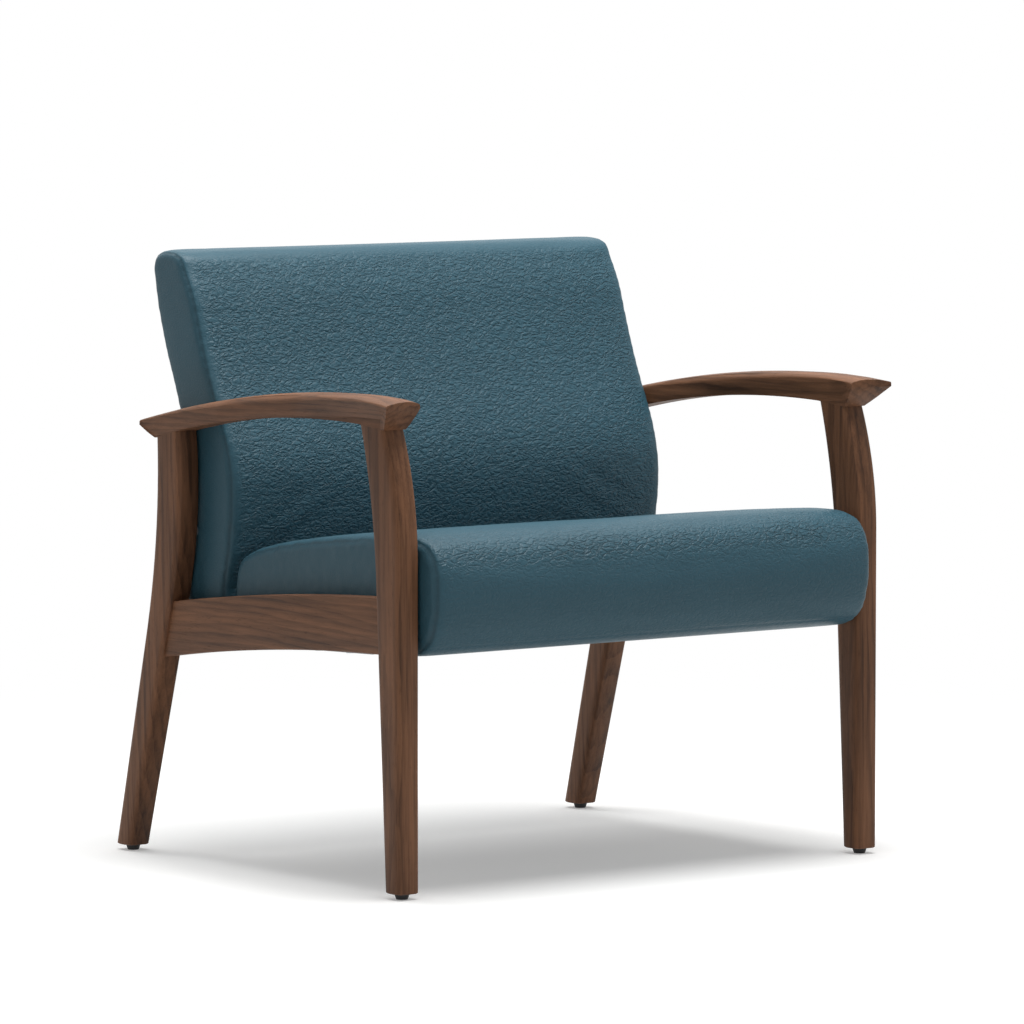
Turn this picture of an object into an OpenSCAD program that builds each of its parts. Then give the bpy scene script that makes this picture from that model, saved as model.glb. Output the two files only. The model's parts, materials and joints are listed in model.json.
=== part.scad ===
// Wide guest chair: a bent-leg hardwood frame with open arms, and a fully upholstered seat and back.
// Millimetres, +Z up, front towards -Y, origin on the floor at the middle of the outer box.
// Left and right are those of the person sitting in the chair, so left is +X.

/* [Feet] */
// Distance between the glide centres, side to side
foot_span_x = 814; // [760:1:1000]
// Distance between the glide centres, front to back
foot_span_y = 661; // [640:1:740]
// Height of each leg's end above the floor
foot_z = 8; // [7:0.5:12]
// Depth of a leg at its foot
foot_d = 36; // [32:0.5:40]
// Extra depth behind the glide at a rear foot
rear_foot_extra = 2; // [0:0.5:4]

/* [Legs] */
// Width of every leg, side to side
leg_w = 37; // [34:0.5:46]
// Softening of a leg's edges, measured across its width
leg_edge_x = 6; // [3:0.5:8]
// Softening of a leg's edges, measured along its depth
leg_edge_y = 13; // [5:0.5:14]
// Height at which a front leg starts to sweep back
front_bend_z = 470; // [440:5:490]
// Radius of the sweep on a front leg's front face
front_face_r = 450; // [420:10:600]
// Height at which a front leg's rear face starts to sweep back
front_back_bend_z = 430; // [420:5:460]
// Radius of the sweep on a front leg's rear face
front_back_r = 950; // [800:10:1300]
// Lean of a front leg's rear face below the sweep, in degrees
front_taper = 2.85; // [2:0.05:3.5]
// Rake of a rear leg's rear face near the floor, in degrees
rear_back_rake = 14.4; // [13:0.1:15]
// Rake of a rear leg's front face near the floor, in degrees
rear_face_rake = 16.2; // [15:0.1:17]
// Height at which a rear leg's rear face starts to bend upright
rear_back_bend_z = 303; // [280:1:320]
// Radius of the bend on a rear leg's rear face
rear_back_r = 1000; // [900:10:1100]
// Height at which a rear leg's front face starts to bend upright
rear_face_bend_z = 373; // [372:1:390]
// Radius of the bend on a rear leg's front face
rear_face_r = 590; // [540:10:680]
// Height of a front leg's top, at its front face
front_top_z = 643.5; // [630:0.5:660]
// Upward slope of the front joint towards the back, in degrees
front_joint_slope = 5.5; // [3:0.5:7]
// Height of a rear leg's top, at its front face
rear_top_z = 615; // [605:0.5:625]
// Downward slope of the rear joint towards the back, in degrees
rear_joint_slope = 12.6; // [10:0.1:14]

/* [Arms] */
// Rise of the arm's highest line above a front leg's top
arm_rise = 45.5; // [40:0.5:55]
// Radius of the arm's long curve behind its highest point
arm_rear_r = 2320; // [2000:20:2600]
// Radius of the arm's droop in front of its highest point
arm_front_r = 800; // [700:20:1200]
// Overhang of the front prow beyond the leg
arm_front_over = 35; // [25:1:45]
// Overhang of the rear prow beyond the leg
arm_rear_over = 23; // [16:1:30]
// Outward flare of the arm's top edge at its front corner
arm_front_flare = 21; // [12:1:26]
// Inward flare of the arm's top edge at its front corner
arm_inner_flare = 7; // [4:0.5:9]
// Outward flare of the arm's top edge at its rear end
arm_rear_flare = 11; // [6:0.5:16]
// Flare of the arm's top edge on both sides at mid length
arm_mid_flare = 5; // [2:0.5:8]
// Height of the arm's crown over its top edges
arm_crown = 4.5; // [2:0.5:6]
// Height of the upright lip at each prow's tip
arm_lip = 6; // [4:0.5:8]
// Height of the crease above the front joint, where the flare starts
arm_crease = 18; // [10:1:22]
// Softening of the arm's top edge at the ends
arm_edge_crisp = 1.6; // [1:0.1:2.5]
// Softening of the arm's top edge at mid length
arm_edge_soft = 7; // [4:0.5:9]

/* [Side rails] */
// Thickness of a side rail
rail_t = 24; // [20:0.5:26]
// Height of a side rail at the front leg
rail_h = 78.5; // [70:0.5:85]
// Height of a side rail at the rear leg
rail_rear_h = 82; // [72:0.5:86]
// Height of a side rail's top edge at the front leg
rail_front_z = 412.5; // [405:0.5:415]
// Height of a side rail's top edge at the rear leg
rail_rear_z = 370.5; // [360:0.5:371.5]
// Bow of a side rail's top edge
rail_bow = 6.5; // [2:0.5:9]
// Arch of a side rail's lower edge
rail_arch = 8.8; // [4:0.2:14]
// Setback of a side rail's outer face from the leg's outer face
rail_setback = 7; // [6:0.5:8]
// Softening of a side rail's long edges
rail_edge = 3; // [1.5:0.5:5]

/* [Seat cushion] */
// Height of the seat over its base plane
seat_h = 162; // [150:1:175]
// Height of the base plane at the seat's nose
seat_base_z = 334; // [330:1:340]
// Reach of the seat's nose beyond the front legs
seat_nose = 38; // [30:1:50]
// Downward tilt of the seat's base towards the back, in degrees
seat_tilt = 2; // [1:0.5:3]
// Crown of the seat's cover between its side seams
seat_crown = 6.5; // [4:0.5:12]
// Gap between the seat's rear end and the back
seat_back_gap = 22; // [15:1:35]
// Gap between a seat side and the legs
seat_side_gap = 5.5; // [5.5:0.5:8]

/* [Seat base] */
// Thickness of the foam and cover over the seat frame's sides and rear
seat_wrap = 8; // [6:0.5:10]
// Depth of foam in front of the seat frame, at the nose
seat_lip_foam = 82; // [78:1:90]
// Thickness of a seat frame rail
seat_rail_t = 25; // [25:1:30]
// Height of a seat frame rail
seat_rail_h = 62; // [58:1:66]
// Thickness of the plywood deck
deck_t = 15; // [12:1:18]
// Diameter of the deck's vent holes
vent_d = 32; // [20:1:40]
// Depth of a steel cross tube, front to back
tube_d = 50; // [40:1:60]
// Height of a steel cross tube
tube_h = 25; // [20:1:30]
// Wall of a steel cross tube
tube_wall = 2.5; // [2:0.5:4]
// Thickness of a steel support angle
angle_t = 5; // [4:0.5:5]
// Width of a support angle's level flange
angle_w = 50; // [46:1:58]
// Height of a support angle's upright flange
angle_h = 48; // [44:1:52]
// Length of a support angle
angle_l = 340; // [320:5:345]
// Thickness of the dust cover
dust_t = 1.2; // [0.8:0.1:2]

/* [Back cushion] */
// Height of the back's lower edge
back_base_z = 350; // [346:1:356]
// Height of the back from its lower edge to its top
back_h = 516; // [500:1:540]
// Greatest thickness of the back, at the lumbar bulge
back_t = 110; // [100:1:116]
// Distance of the back's rear face behind the rear legs' front faces, low down
back_inset = 34; // [32:0.5:38]
// Height at which the back's rear face starts to recline
back_bend_z = 500; // [495:5:515]
// Radius of that bend
back_bend_r = 368; // [340:4:400]
// Recline of the upper back, in degrees
back_recline = 20.2; // [18:0.2:22]
// Distance below the top at which the rear face eases upright again
back_ease_drop = 124; // [110:2:135]
// Radius of the easing
back_ease_r = 375; // [340:5:420]
// Crown of the back's front face between its side seams
back_crown = 9; // [4:1:12]
// Crown of the back's top edge, as a share of the front's
back_top_crown = 0.2; // [0:0.05:0.6]
// Gap between a back side and the rear legs
back_side_gap = 2.5; // [2:0.5:4]

/* [Back frame] */
// Thickness of the foam and cover over the back frame's sides
back_wrap = 10; // [8:0.5:12]
// Thickness of the upholstered outer panel
panel_t = 4; // [3:0.5:6]
// Depth of the back frame's wood
back_frame_t = 28; // [25:1:30]
// Width of a back stile
stile_w = 45; // [40:1:55]
// Height of a back frame rail
back_rail_h = 60; // [50:1:66]
// Thickness of a webbing strap
strap_t = 2; // [1.5:0.5:3]
// Width of a webbing strap
strap_w = 50; // [40:1:60]
// Number of upright webbing straps
strap_count = 6; // [4:1:7]

/* [Glides] */
// Diameter of a glide pad at its top
pad_d = 20; // [18:0.5:24]
// Diameter of a glide pad on the floor
pad_floor_d = 16; // [14:0.5:17]
// Diameter of a glide stem
stem_d = 8; // [6:0.5:8]
// Length of a glide stem inside the leg
stem_l = 24; // [20:1:30]
// Outer diameter of a threaded insert in a foot
insert_d = 12; // [11:0.5:14]

/* [Joinery] */
// Diameter of an arm dowel
arm_dowel_d = 10; // [8:0.5:12]
// Length of an arm dowel
arm_dowel_l = 44; // [36:1:48]
// Diameter of a rail dowel
rail_dowel_d = 12; // [8:0.5:12]
// Length of a rail dowel
rail_dowel_l = 60; // [40:2:64]
// Diameter of a frame bolt's shank
bolt_d = 8; // [6:0.5:8]
// Diameter of a frame bolt's head
head_d = 14; // [12:0.5:15]
// Thickness of a frame bolt's head
head_t = 4; // [3:0.5:4]
// Length of a threaded insert for a frame bolt
nut_l = 18; // [14:1:20]
// Height of the back's lower mounting bolts
back_bolt_low_z = 470; // [465:1:480]
// Height of the back's upper mounting bolts
back_bolt_high_z = 560; // [550:1:565]
// Diameter of a sleeve between the back and a rear leg
sleeve_d = 20; // [16:1:22]

/* [Hidden] */

// Colours
walnut = "#6a4a3a";
beech = "#c9a577";
vinyl = "#2f5464";
vinyl_dark = "#27434f";
steel = "#8c9094";
zinc = "#b9bcc0";
black = "#222222";
plywood = "#b98f5e";

// Fits
overrun = 5;
glue_gap = 0.05;
slide_gap = 0.3;
running_gap = 0.05;
round_faces = 48;
quarter_turn = 90;

// Places shared by several pieces
foot_x = foot_span_x / 2;
foot_y = foot_span_y / 2;
leg_in_x = foot_x - leg_w / 2;
leg_out_x = foot_x + leg_w / 2;
rail_out_x = leg_out_x - rail_setback;
rail_in_x = rail_out_x - rail_t;
seat_half_w = leg_in_x - seat_side_gap;
back_half_w = leg_in_x - back_side_gap;
panel_margin = 8;

// Shape helpers
function lerp(a, b, t) = a + (b - a) * t;
function clamp(v, lo, hi) = max(lo, min(hi, v));
// Offset of a face that is straight up to start and then follows a large radius
function bend(z, start, r) = z > start ? (z - start) * (z - start) / (2 * r) : 0;

// Closed curve through the given points, with steps points for each span
function curve_point(a, b, c, d, t) =
    ((2 * b) + (c - a) * t + (2 * a - 5 * b + 4 * c - d) * t * t
        + (3 * b - a - 3 * c + d) * t * t * t) / 2;
function smooth_loop(points, steps) =
    let (n = len(points))
    [for (i = [0:n - 1]) for (k = [0:steps - 1])
        curve_point(points[(i + n - 1) % n], points[i], points[(i + 1) % n], points[(i + 2) % n], k / steps)];

// Outward direction at point i of a closed loop that runs anticlockwise
function loop_normal(loop, i) =
    let (n = len(loop), along = loop[(i + 1) % n] - loop[(i + n - 1) % n], size = norm(along))
    [along[1] / size, -along[0] / size];

// Solid through rings of points, each ring anticlockwise about the direction in which the rings advance
module loft(rings) {
    n = len(rings[0]);
    m = len(rings);
    sides = [for (j = [0:m - 2]) for (i = [0:n - 1]) each [
        [j * n + i, (j + 1) * n + i, (j + 1) * n + (i + 1) % n],
        [j * n + i, (j + 1) * n + (i + 1) % n, j * n + (i + 1) % n]
    ]];
    polyhedron(
        points = [for (ring = rings) each ring],
        faces = concat([[for (i = [0:n - 1]) i]], sides, [[for (i = [n - 1:-1:0]) (m - 1) * n + i]])
    );
}

// The left piece as drawn, or its mirror image on the right
module on_side(side) {
    if (side > 0) children();
    else mirror([1, 0, 0]) children();
}

// Cylinder along X from x0 to x1
module rod_x(x0, x1, r) {
    translate([x0, 0, 0]) rotate([0, 90, 0]) cylinder(h = x1 - x0, r = r, $fn = round_faces);
}

// Cylinder along Y from y0 to y1
module rod_y(y0, y1, r) {
    translate([0, y0, 0]) rotate([-90, 0, 0]) cylinder(h = y1 - y0, r = r, $fn = round_faces);
}

// Block between two corners
module block(low, high) {
    translate(low) cube(high - low);
}

// Outline in Y and Z, drawn out along X from x0 to x1
module along_x(x0, x1, outline) {
    translate([x0, 0, 0]) rotate([90, 0, 90]) linear_extrude(x1 - x0) polygon(outline);
}

// Faces of the legs as functions of height
function front_leg_face(z) = -foot_y - foot_d / 2 + bend(z, front_bend_z, front_face_r);
function front_leg_back(z) = -foot_y + foot_d / 2 + (z - foot_z) * tan(front_taper)
    + bend(z, front_back_bend_z, front_back_r);
function rear_leg_face(z) = foot_y - foot_d / 2 - (z - foot_z) * tan(rear_face_rake)
    + bend(z, rear_face_bend_z, rear_face_r);
function rear_leg_back(z) = foot_y + foot_d / 2 + rear_foot_extra - (z - foot_z) * tan(rear_back_rake)
    + bend(z, rear_back_bend_z, rear_back_r);

// Joint planes between the legs and the arms
front_y0 = front_leg_face(front_top_z);
function front_joint_z(y) = front_top_z + (y - front_y0) * tan(front_joint_slope);
rear_y0 = rear_leg_face(rear_top_z);
function rear_joint_z(y) = rear_top_z - (y - rear_y0) * tan(rear_joint_slope);
// Height at which a leg's rear face meets its joint plane, found in a few passes
function front_corner_z(z, passes) =
    passes < 1 ? z : front_corner_z(front_joint_z(front_leg_back(z)), passes - 1);
function rear_corner_z(z, passes) =
    passes < 1 ? z : rear_corner_z(rear_joint_z(rear_leg_back(z)), passes - 1);
corner_passes = 6;
front_back_z = front_corner_z(front_top_z, corner_passes);
front_y1 = front_leg_back(front_back_z);
rear_back_z = rear_corner_z(rear_top_z, corner_passes);
rear_y1 = rear_leg_back(rear_back_z);

// The outer box runs from the seat's crowned nose to the rear feet, and the origin is at its middle
foot_bevel = 1.5;
seat_nose_share = 0.57;
seat_front_y = -foot_y - foot_d / 2 - seat_nose;
outer_front_y = seat_front_y - seat_crown + seat_h * seat_nose_share * sin(seat_tilt);
outer_mid_y = (outer_front_y + rear_leg_back(foot_z + foot_bevel)) / 2;
module placed() {
    translate([0, -outer_mid_y, 0]) children();
}

// Legs
leg_corner_steps = 4;
leg_sweep_rings = 12;
leg_edge_limit_share = 0.4;
// One ring of a leg: a softened rectangle between a front and a rear point, each given as [y, z]
function leg_ring(front, back, shrink) =
    let (
        hx = leg_w / 2 - shrink,
        depth = norm(back - front),
        ey = min(leg_edge_y, depth * leg_edge_limit_share) / depth,
        ex = leg_edge_x,
        trim = shrink / depth
    )
    [for (c = [0:3]) for (k = [0:leg_corner_steps])
        let (
            a = quarter_turn * (c + k / leg_corner_steps),
            sx = (c == 0 || c == 3) ? 1 : -1,
            sy = c < 2 ? 1 : 0,
            x = sx * (hx - ex) + ex * cos(a),
            q = lerp(trim + ey, 1 - trim - ey, sy) + ey * sin(a)
        )
        [foot_x + x, lerp(front[0], back[0], q), lerp(front[1], back[1], q)]];

// Heights of a leg's rings on one face, from the foot to the top corner
function leg_heights(start, top) = concat(
    [foot_z, foot_z + foot_bevel],
    [for (k = [0:leg_sweep_rings]) lerp(start, top, k / leg_sweep_rings)]
);

module front_leg_body() {
    face = leg_heights(front_bend_z, front_top_z);
    back = leg_heights(front_back_bend_z, front_back_z);
    loft([for (i = [0:len(face) - 1]) leg_ring(
        [front_leg_face(face[i]), face[i]],
        [front_leg_back(back[i]), back[i]],
        i == 0 ? foot_bevel : 0
    )]);
}

module rear_leg_body() {
    face = leg_heights(rear_face_bend_z, rear_top_z);
    back = leg_heights(rear_back_bend_z, rear_back_z);
    loft([for (i = [0:len(face) - 1]) leg_ring(
        [rear_leg_face(face[i]), face[i]],
        [rear_leg_back(back[i]), back[i]],
        i == 0 ? foot_bevel : 0
    )]);
}

// Joinery that the legs, arms and rails share
arm_dowel_shares = [0.3, 0.7];
rail_dowel_shares = [0.3, 0.7];
glue_room = 1;
front_dowel_ys = [for (s = arm_dowel_shares) lerp(front_y0, front_y1, s)];
rear_dowel_ys = [for (s = arm_dowel_shares) lerp(rear_y0, rear_y1, s)];
module arm_dowel_set(grow_r, grow_l) {
    for (y = front_dowel_ys)
        translate([foot_x, y, front_joint_z(y) - arm_dowel_l / 2 - grow_l])
            cylinder(h = arm_dowel_l + 2 * grow_l, r = arm_dowel_d / 2 + grow_r, $fn = round_faces);
    for (y = rear_dowel_ys)
        translate([foot_x, y, rear_joint_z(y) - arm_dowel_l / 2 - grow_l])
            cylinder(h = arm_dowel_l + 2 * grow_l, r = arm_dowel_d / 2 + grow_r, $fn = round_faces);
}
rail_mid_x = (rail_in_x + rail_out_x) / 2;
module rail_dowel_set(grow_r, grow_l) {
    for (s = rail_dowel_shares) {
        front_z = rail_front_z - rail_h * s;
        rear_z = rail_rear_z - rail_rear_h * s;
        translate([rail_mid_x, front_leg_back(front_z), front_z])
            rod_y(-rail_dowel_l / 2 - grow_l, rail_dowel_l / 2 + grow_l, rail_dowel_d / 2 + grow_r);
        translate([rail_mid_x, rear_leg_face(rear_z), rear_z])
            rod_y(-rail_dowel_l / 2 - grow_l, rail_dowel_l / 2 + grow_l, rail_dowel_d / 2 + grow_r);
    }
}
module dowel_holes() {
    arm_dowel_set(glue_gap, glue_room);
    rail_dowel_set(glue_gap, glue_room);
}

module foot_hole(y) {
    translate([foot_x, y, foot_z - overrun])
        cylinder(h = overrun + stem_l + glue_room, r = insert_d / 2, $fn = round_faces);
}

module front_leg(side) {
    on_side(side) difference() {
        front_leg_body();
        dowel_holes();
        foot_hole(-foot_y);
    }
}

module rear_leg(side) {
    on_side(side) difference() {
        rear_leg_body();
        dowel_holes();
        foot_hole(foot_y);
        leg_insert_set();
    }
}

// Arms
arm_tip_y = front_y0 - arm_front_over;
arm_end_y = rear_y1 + arm_rear_over;
arm_l = arm_end_y - arm_tip_y;
arm_peak_z = front_top_z + arm_rise;
function arm_ridge_z(y) = arm_peak_z - (y < front_y1
    ? (y - front_y1) * (y - front_y1) / (2 * arm_front_r)
    : (y - front_y1) * (y - front_y1) / (2 * arm_rear_r));
// Underside: the two joint planes, and a smooth arch between them
arch_front_slope = 0.04;
arch_rear_slope = -0.2;
function arm_under_z(y) =
    y <= front_y1 ? front_joint_z(y)
    : y >= rear_y0 ? rear_joint_z(y)
    : let (span = rear_y0 - front_y1, t = (y - front_y1) / span)
        front_back_z * (1 + 2 * t) * (1 - t) * (1 - t)
        + rear_top_z * t * t * (3 - 2 * t)
        + span * (arch_front_slope * t * (1 - t) * (1 - t) - arch_rear_slope * t * t * (1 - t));
// Flare of the top edges at a place along the arm, outwards and inwards
front_flare_share = 0.5;
rear_flare_share = 0.6;
function arm_place(y) = (y - arm_tip_y) / arm_l;
function end_pull(s) = s < front_flare_share ? pow(1 - s / front_flare_share, 2) : 0;
function rear_pull(s) = s > rear_flare_share ? pow((s - rear_flare_share) / (1 - rear_flare_share), 2) : 0;
function arm_outer(y) = leg_w / 2 + arm_mid_flare
    + (arm_front_flare - arm_mid_flare) * end_pull(arm_place(y))
    + (arm_rear_flare - arm_mid_flare) * rear_pull(arm_place(y));
// The inner flare fades out in front of the back, which the arm passes closely
inner_fade_shares = [0.5, 0.74];
function inner_fade(s) =
    let (t = clamp((s - inner_fade_shares[0]) / (inner_fade_shares[1] - inner_fade_shares[0]), 0, 1))
    1 - t * t * (3 - 2 * t);
function arm_inner(y) = leg_w / 2 + arm_mid_flare * inner_fade(arm_place(y))
    + (arm_inner_flare - arm_mid_flare) * end_pull(arm_place(y));
function arm_edge(y) = lerp(arm_edge_crisp, arm_edge_soft, pow(sin(180 * arm_place(y)), 2));
// Height of the crease above the underside, which fades behind the front leg
crease_min = 2;
crease_fade_share = 0.4;
function arm_crease_h(y) = crease_min
    + (arm_crease - crease_min) * pow(clamp(1 - arm_place(y) / crease_fade_share, 0, 1), 1.5);
prow_bulge = 2.5;
crease_start_y = front_y0 + prow_bulge * 3;
arm_skew = 11;
crown_shares = [0.4, 0.75];

// One ring of an arm. Prow and crease run from 0 at the leg to 1 at the tip
function arm_ring(y, low_z, prow, crease, skew) =
    let (
        top_z = arm_ridge_z(y),
        wo = arm_outer(y),
        wi = arm_inner(y),
        e = arm_edge(y),
        edge_z = top_z - arm_crown,
        tip_low_z = edge_z - arm_lip,
        half = leg_w / 2,
        low = lerp(low_z, tip_low_z, prow) - prow_bulge * sin(180 * prow),
        crease_z = lerp(low_z + arm_crease_h(y), tip_low_z + arm_lip / 4, crease),
        crown = function (x, w) top_z - arm_crown * (x / w) * (x / w),
        profile = [
            [0, top_z],
            for (s = crown_shares) [wo * s, crown(wo * s, wo)],
            [wo - e, crown(wo - e, wo)],
            [wo - e * 0.3, edge_z - e * 0.3],
            [wo, edge_z - e],
            [lerp(half, wo, crease), crease_z],
            [lerp(half, wo, prow), low],
            [0, low],
            [-lerp(half, wi, prow), low],
            [-lerp(half, wi, crease), crease_z],
            [-wi, edge_z - e],
            [-wi + e * 0.3, edge_z - e * 0.3],
            [-wi + e, crown(wi - e, wi)],
            for (s = [crown_shares[1], crown_shares[0]]) [-wi * s, crown(wi * s, wi)]
        ]
    )
    [for (p = profile) [foot_x + p[0], y + skew * (wo - p[0]) / (wo + wi), p[1]]];

prow_steps = 4;
arch_steps = 18;
arm_rings = concat(
    [for (k = [prow_steps:-1:1])
        let (t = k / prow_steps, y = lerp(front_y0, arm_tip_y, t))
        arm_ring(y, front_top_z, t, (crease_start_y - y) / (crease_start_y - arm_tip_y), arm_skew * t)],
    [arm_ring(front_y0, front_top_z, 0, (crease_start_y - front_y0) / (crease_start_y - arm_tip_y), 0)],
    [arm_ring(crease_start_y, front_joint_z(crease_start_y), 0, 0, 0)],
    [for (k = [1:2]) let (y = lerp(crease_start_y, front_y1, k / 2)) arm_ring(y, arm_under_z(y), 0, 0, 0)],
    [for (k = [1:arch_steps]) let (y = lerp(front_y1, rear_y0, k / arch_steps))
        arm_ring(y, arm_under_z(y), 0, 0, 0)],
    [for (k = [1:3]) let (y = lerp(rear_y0, rear_y1, k / 3)) arm_ring(y, arm_under_z(y), 0, 0, 0)],
    [for (k = [1:prow_steps]) let (t = k / prow_steps, y = lerp(rear_y1, arm_end_y, t))
        arm_ring(y, rear_back_z, t, t, 0)]
);

module arm(side) {
    on_side(side) difference() {
        loft(arm_rings);
        arm_dowel_set(glue_gap, glue_room);
    }
}

// Side rails
rail_steps = 14;
rail_corner_steps = 2;
function rail_top_z(s) = lerp(rail_front_z, rail_rear_z, s) + 4 * rail_bow * s * (1 - s);
function rail_low_z(s) = lerp(rail_front_z - rail_h, rail_rear_z - rail_rear_h, s)
    + 4 * rail_arch * s * (1 - s);
function rail_ring(s) =
    let (
        mid_z = (rail_top_z(s) + rail_low_z(s)) / 2,
        half_h = (rail_top_z(s) - rail_low_z(s)) / 2 - rail_edge
    )
    [for (c = [0:3]) for (k = [0:rail_corner_steps])
        let (
            a = quarter_turn * (c + k / rail_corner_steps),
            sz = (c == 0 || c == 3) ? 1 : -1,
            sx = c < 2 ? 1 : -1,
            z = mid_z + sz * half_h + rail_edge * cos(a),
            x = rail_mid_x + sx * (rail_t / 2 - rail_edge) + rail_edge * sin(a)
        )
        [x, lerp(front_leg_back(z), rear_leg_face(z), s), z]];

module side_rail(side) {
    on_side(side) difference() {
        loft([for (k = [0:rail_steps]) rail_ring(k / rail_steps)]);
        rail_dowel_set(glue_gap, glue_room);
        rail_insert_set();
    }
}

// Back cushion outline
function back_rear_y(z) = rear_leg_face(back_bend_z) + back_inset
    + bend(z, back_bend_z, back_bend_r)
    - bend(z, back_bend_z + back_bend_r * tan(back_recline), back_bend_r)
    - bend(z, back_base_z + back_h - back_ease_drop, back_ease_r);
// Thickness of the back at shares of its height, as shares of its greatest thickness
back_thick_shares = [
    [0.07, 0.81], [0.19, 0.92], [0.30, 0.98], [0.38, 1.00], [0.46, 0.985],
    [0.54, 0.94], [0.62, 0.90], [0.71, 0.885], [0.80, 0.885], [0.88, 0.845]
];
back_front_top_r = 30;
back_rear_top_r = 20;
back_low_r = 14;
back_top_z = back_base_z + back_h;
back_top_share = 0.71;
back_top_front_y = back_rear_y(back_top_z - back_front_top_r * 0.8) - back_t * back_top_share;
function back_front_y(share) = back_rear_y(back_base_z + back_h * share)
    - back_t * lookup(share, back_thick_shares);
back_loop = smooth_loop(concat(
    [[back_front_y(0) + back_low_r, back_base_z]],
    [[lerp(back_front_y(0), back_rear_y(back_base_z), 0.5), back_base_z]],
    [[back_rear_y(back_base_z) - back_low_r / 2, back_base_z]],
    [[back_rear_y(back_base_z), back_base_z + back_low_r / 2]],
    [for (s = [0.15, 0.3, 0.42, 0.54, 0.66, 0.78, 0.88])
        [back_rear_y(back_base_z + back_h * s), back_base_z + back_h * s]],
    [[back_rear_y(back_top_z - back_rear_top_r), back_top_z - back_rear_top_r]],
    [[back_rear_y(back_top_z) - back_rear_top_r * 0.3, back_top_z - back_rear_top_r * 0.32]],
    [[back_rear_y(back_top_z) - back_rear_top_r, back_top_z - back_rear_top_r * 0.05]],
    [[back_top_front_y + back_front_top_r * 1.05, back_top_z]],
    [[back_top_front_y + back_front_top_r * 0.35, back_top_z - back_front_top_r * 0.22]],
    [[back_top_front_y, back_top_z - back_front_top_r * 0.8]],
    [for (i = [len(back_thick_shares) - 1:-1:0])
        [back_front_y(back_thick_shares[i][0]), back_base_z + back_h * back_thick_shares[i][0]]],
    [[back_front_y(0), back_base_z + back_low_r]]
), 2);

// Seat outline in the seat's own frame: y from the nose towards the back, z from the base plane.
// Anticlockwise from the nose, down, back and up, as shares of the seat's length and height.
seat_outline_shares = [
    [0.000, seat_nose_share], [0.010, 0.34], [0.032, 0.17], [0.072, 0.055], [0.130, 0.00],
    [0.350, 0.00], [0.600, 0.00], [0.850, 0.00], [0.965, 0.00], [0.992, 0.06],
    [1.000, 0.25], [0.998, 0.48], [0.978, 0.655], [0.925, 0.765], [0.840, 0.845],
    [0.710, 0.903], [0.540, 0.950], [0.360, 0.985], [0.230, 1.002], [0.145, 1.004],
    [0.080, 0.978], [0.037, 0.912], [0.010, 0.785]
];
seat_rear_share = 0.1;
seat_rear_y = back_front_y(seat_rear_share) - seat_back_gap;
seat_l = seat_rear_y - seat_front_y;
seat_loop = [for (p = smooth_loop(seat_outline_shares, 3)) [p[0] * seat_l, max(p[1], 0) * seat_h]];

// Cushion through its side outline, with a crowned cover and slightly filled side panels
cushion_station_shares = [1, 0.98, 0.93, 0.82, 0.6, 0.25];
side_fill = 1.5;
side_inset_shares = [0.96, 0.02];
function crown_at(share) = sqrt(1 - pow(abs(share), 4));
function crown_ring(loop, x, crown, top_share) =
    [for (i = [0:len(loop) - 1])
        let (n = loop_normal(loop, i), w = clamp(max(-n[0], 0) + top_share * max(n[1], 0), 0, 1))
        [x, loop[i][0] + n[0] * crown * w, loop[i][1] + n[1] * crown * w]];
function loop_middle(loop) = [for (axis = [0, 1])
    let (v = [for (p = loop) p[axis]]) (min(v) + max(v)) / 2];
function inset_ring(loop, x, share) =
    let (c = loop_middle(loop))
    [for (p = loop) [x, lerp(c[0], p[0], share), lerp(c[1], p[1], share)]];
module cushion(loop, half_w, crown, top_share) {
    n = len(cushion_station_shares);
    stations = concat(
        [for (i = [0:n - 1]) -cushion_station_shares[i]],
        [for (i = [n - 1:-1:0]) cushion_station_shares[i]]
    );
    loft(concat(
        [inset_ring(loop, -half_w - side_fill, side_inset_shares[1])],
        [inset_ring(loop, -half_w - side_fill / 2, side_inset_shares[0])],
        [for (s = stations) crown_ring(loop, s * half_w, crown * crown_at(s), top_share)],
        [inset_ring(loop, half_w + side_fill / 2, side_inset_shares[0])],
        [inset_ring(loop, half_w + side_fill, side_inset_shares[1])]
    ));
}

// Seat parts stand in the seat's own frame
module seat_place() {
    translate([0, seat_front_y, seat_base_z]) rotate([-seat_tilt, 0, 0]) children();
}
seat_frame_x = seat_half_w - seat_wrap;
seat_frame_y0 = seat_lip_foam;
seat_frame_y1 = seat_l - seat_wrap;
deck_z = seat_rail_h;
tube_z = angle_t;
angle_out_x = rail_in_x;
angle_in_x = angle_out_x - angle_w - angle_t;
angle_y1 = seat_frame_y1;
angle_y0 = angle_y1 - angle_l;
tube_place_shares = [0.12, 0.82];
tube_ys = [for (s = tube_place_shares) lerp(angle_y0, angle_y1, s)];
tube_end_room = 1;
tube_half_l = seat_frame_x - tube_end_room;
dust_margin = 4;

module tube_space(gap) {
    for (y = tube_ys)
        block([-tube_half_l - gap, y - tube_d / 2 - gap, -overrun], [tube_half_l + gap, y + tube_d / 2 + gap,
            tube_z + tube_h + gap]);
}
module angle_space(gap) {
    for (side = [1, -1]) on_side(side)
        block([angle_in_x - gap, angle_y0 - gap, -overrun],
            [seat_half_w + side_fill + overrun, angle_y1 + gap, angle_t + gap]);
}

module seat_cushion() {
    color(vinyl) placed() seat_place() difference() {
        cushion(seat_loop, seat_half_w, seat_crown, 1);
        block([-seat_frame_x, seat_frame_y0, -overrun], [seat_frame_x, seat_frame_y1, deck_z + deck_t]);
        angle_space(slide_gap);
    }
}

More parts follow.
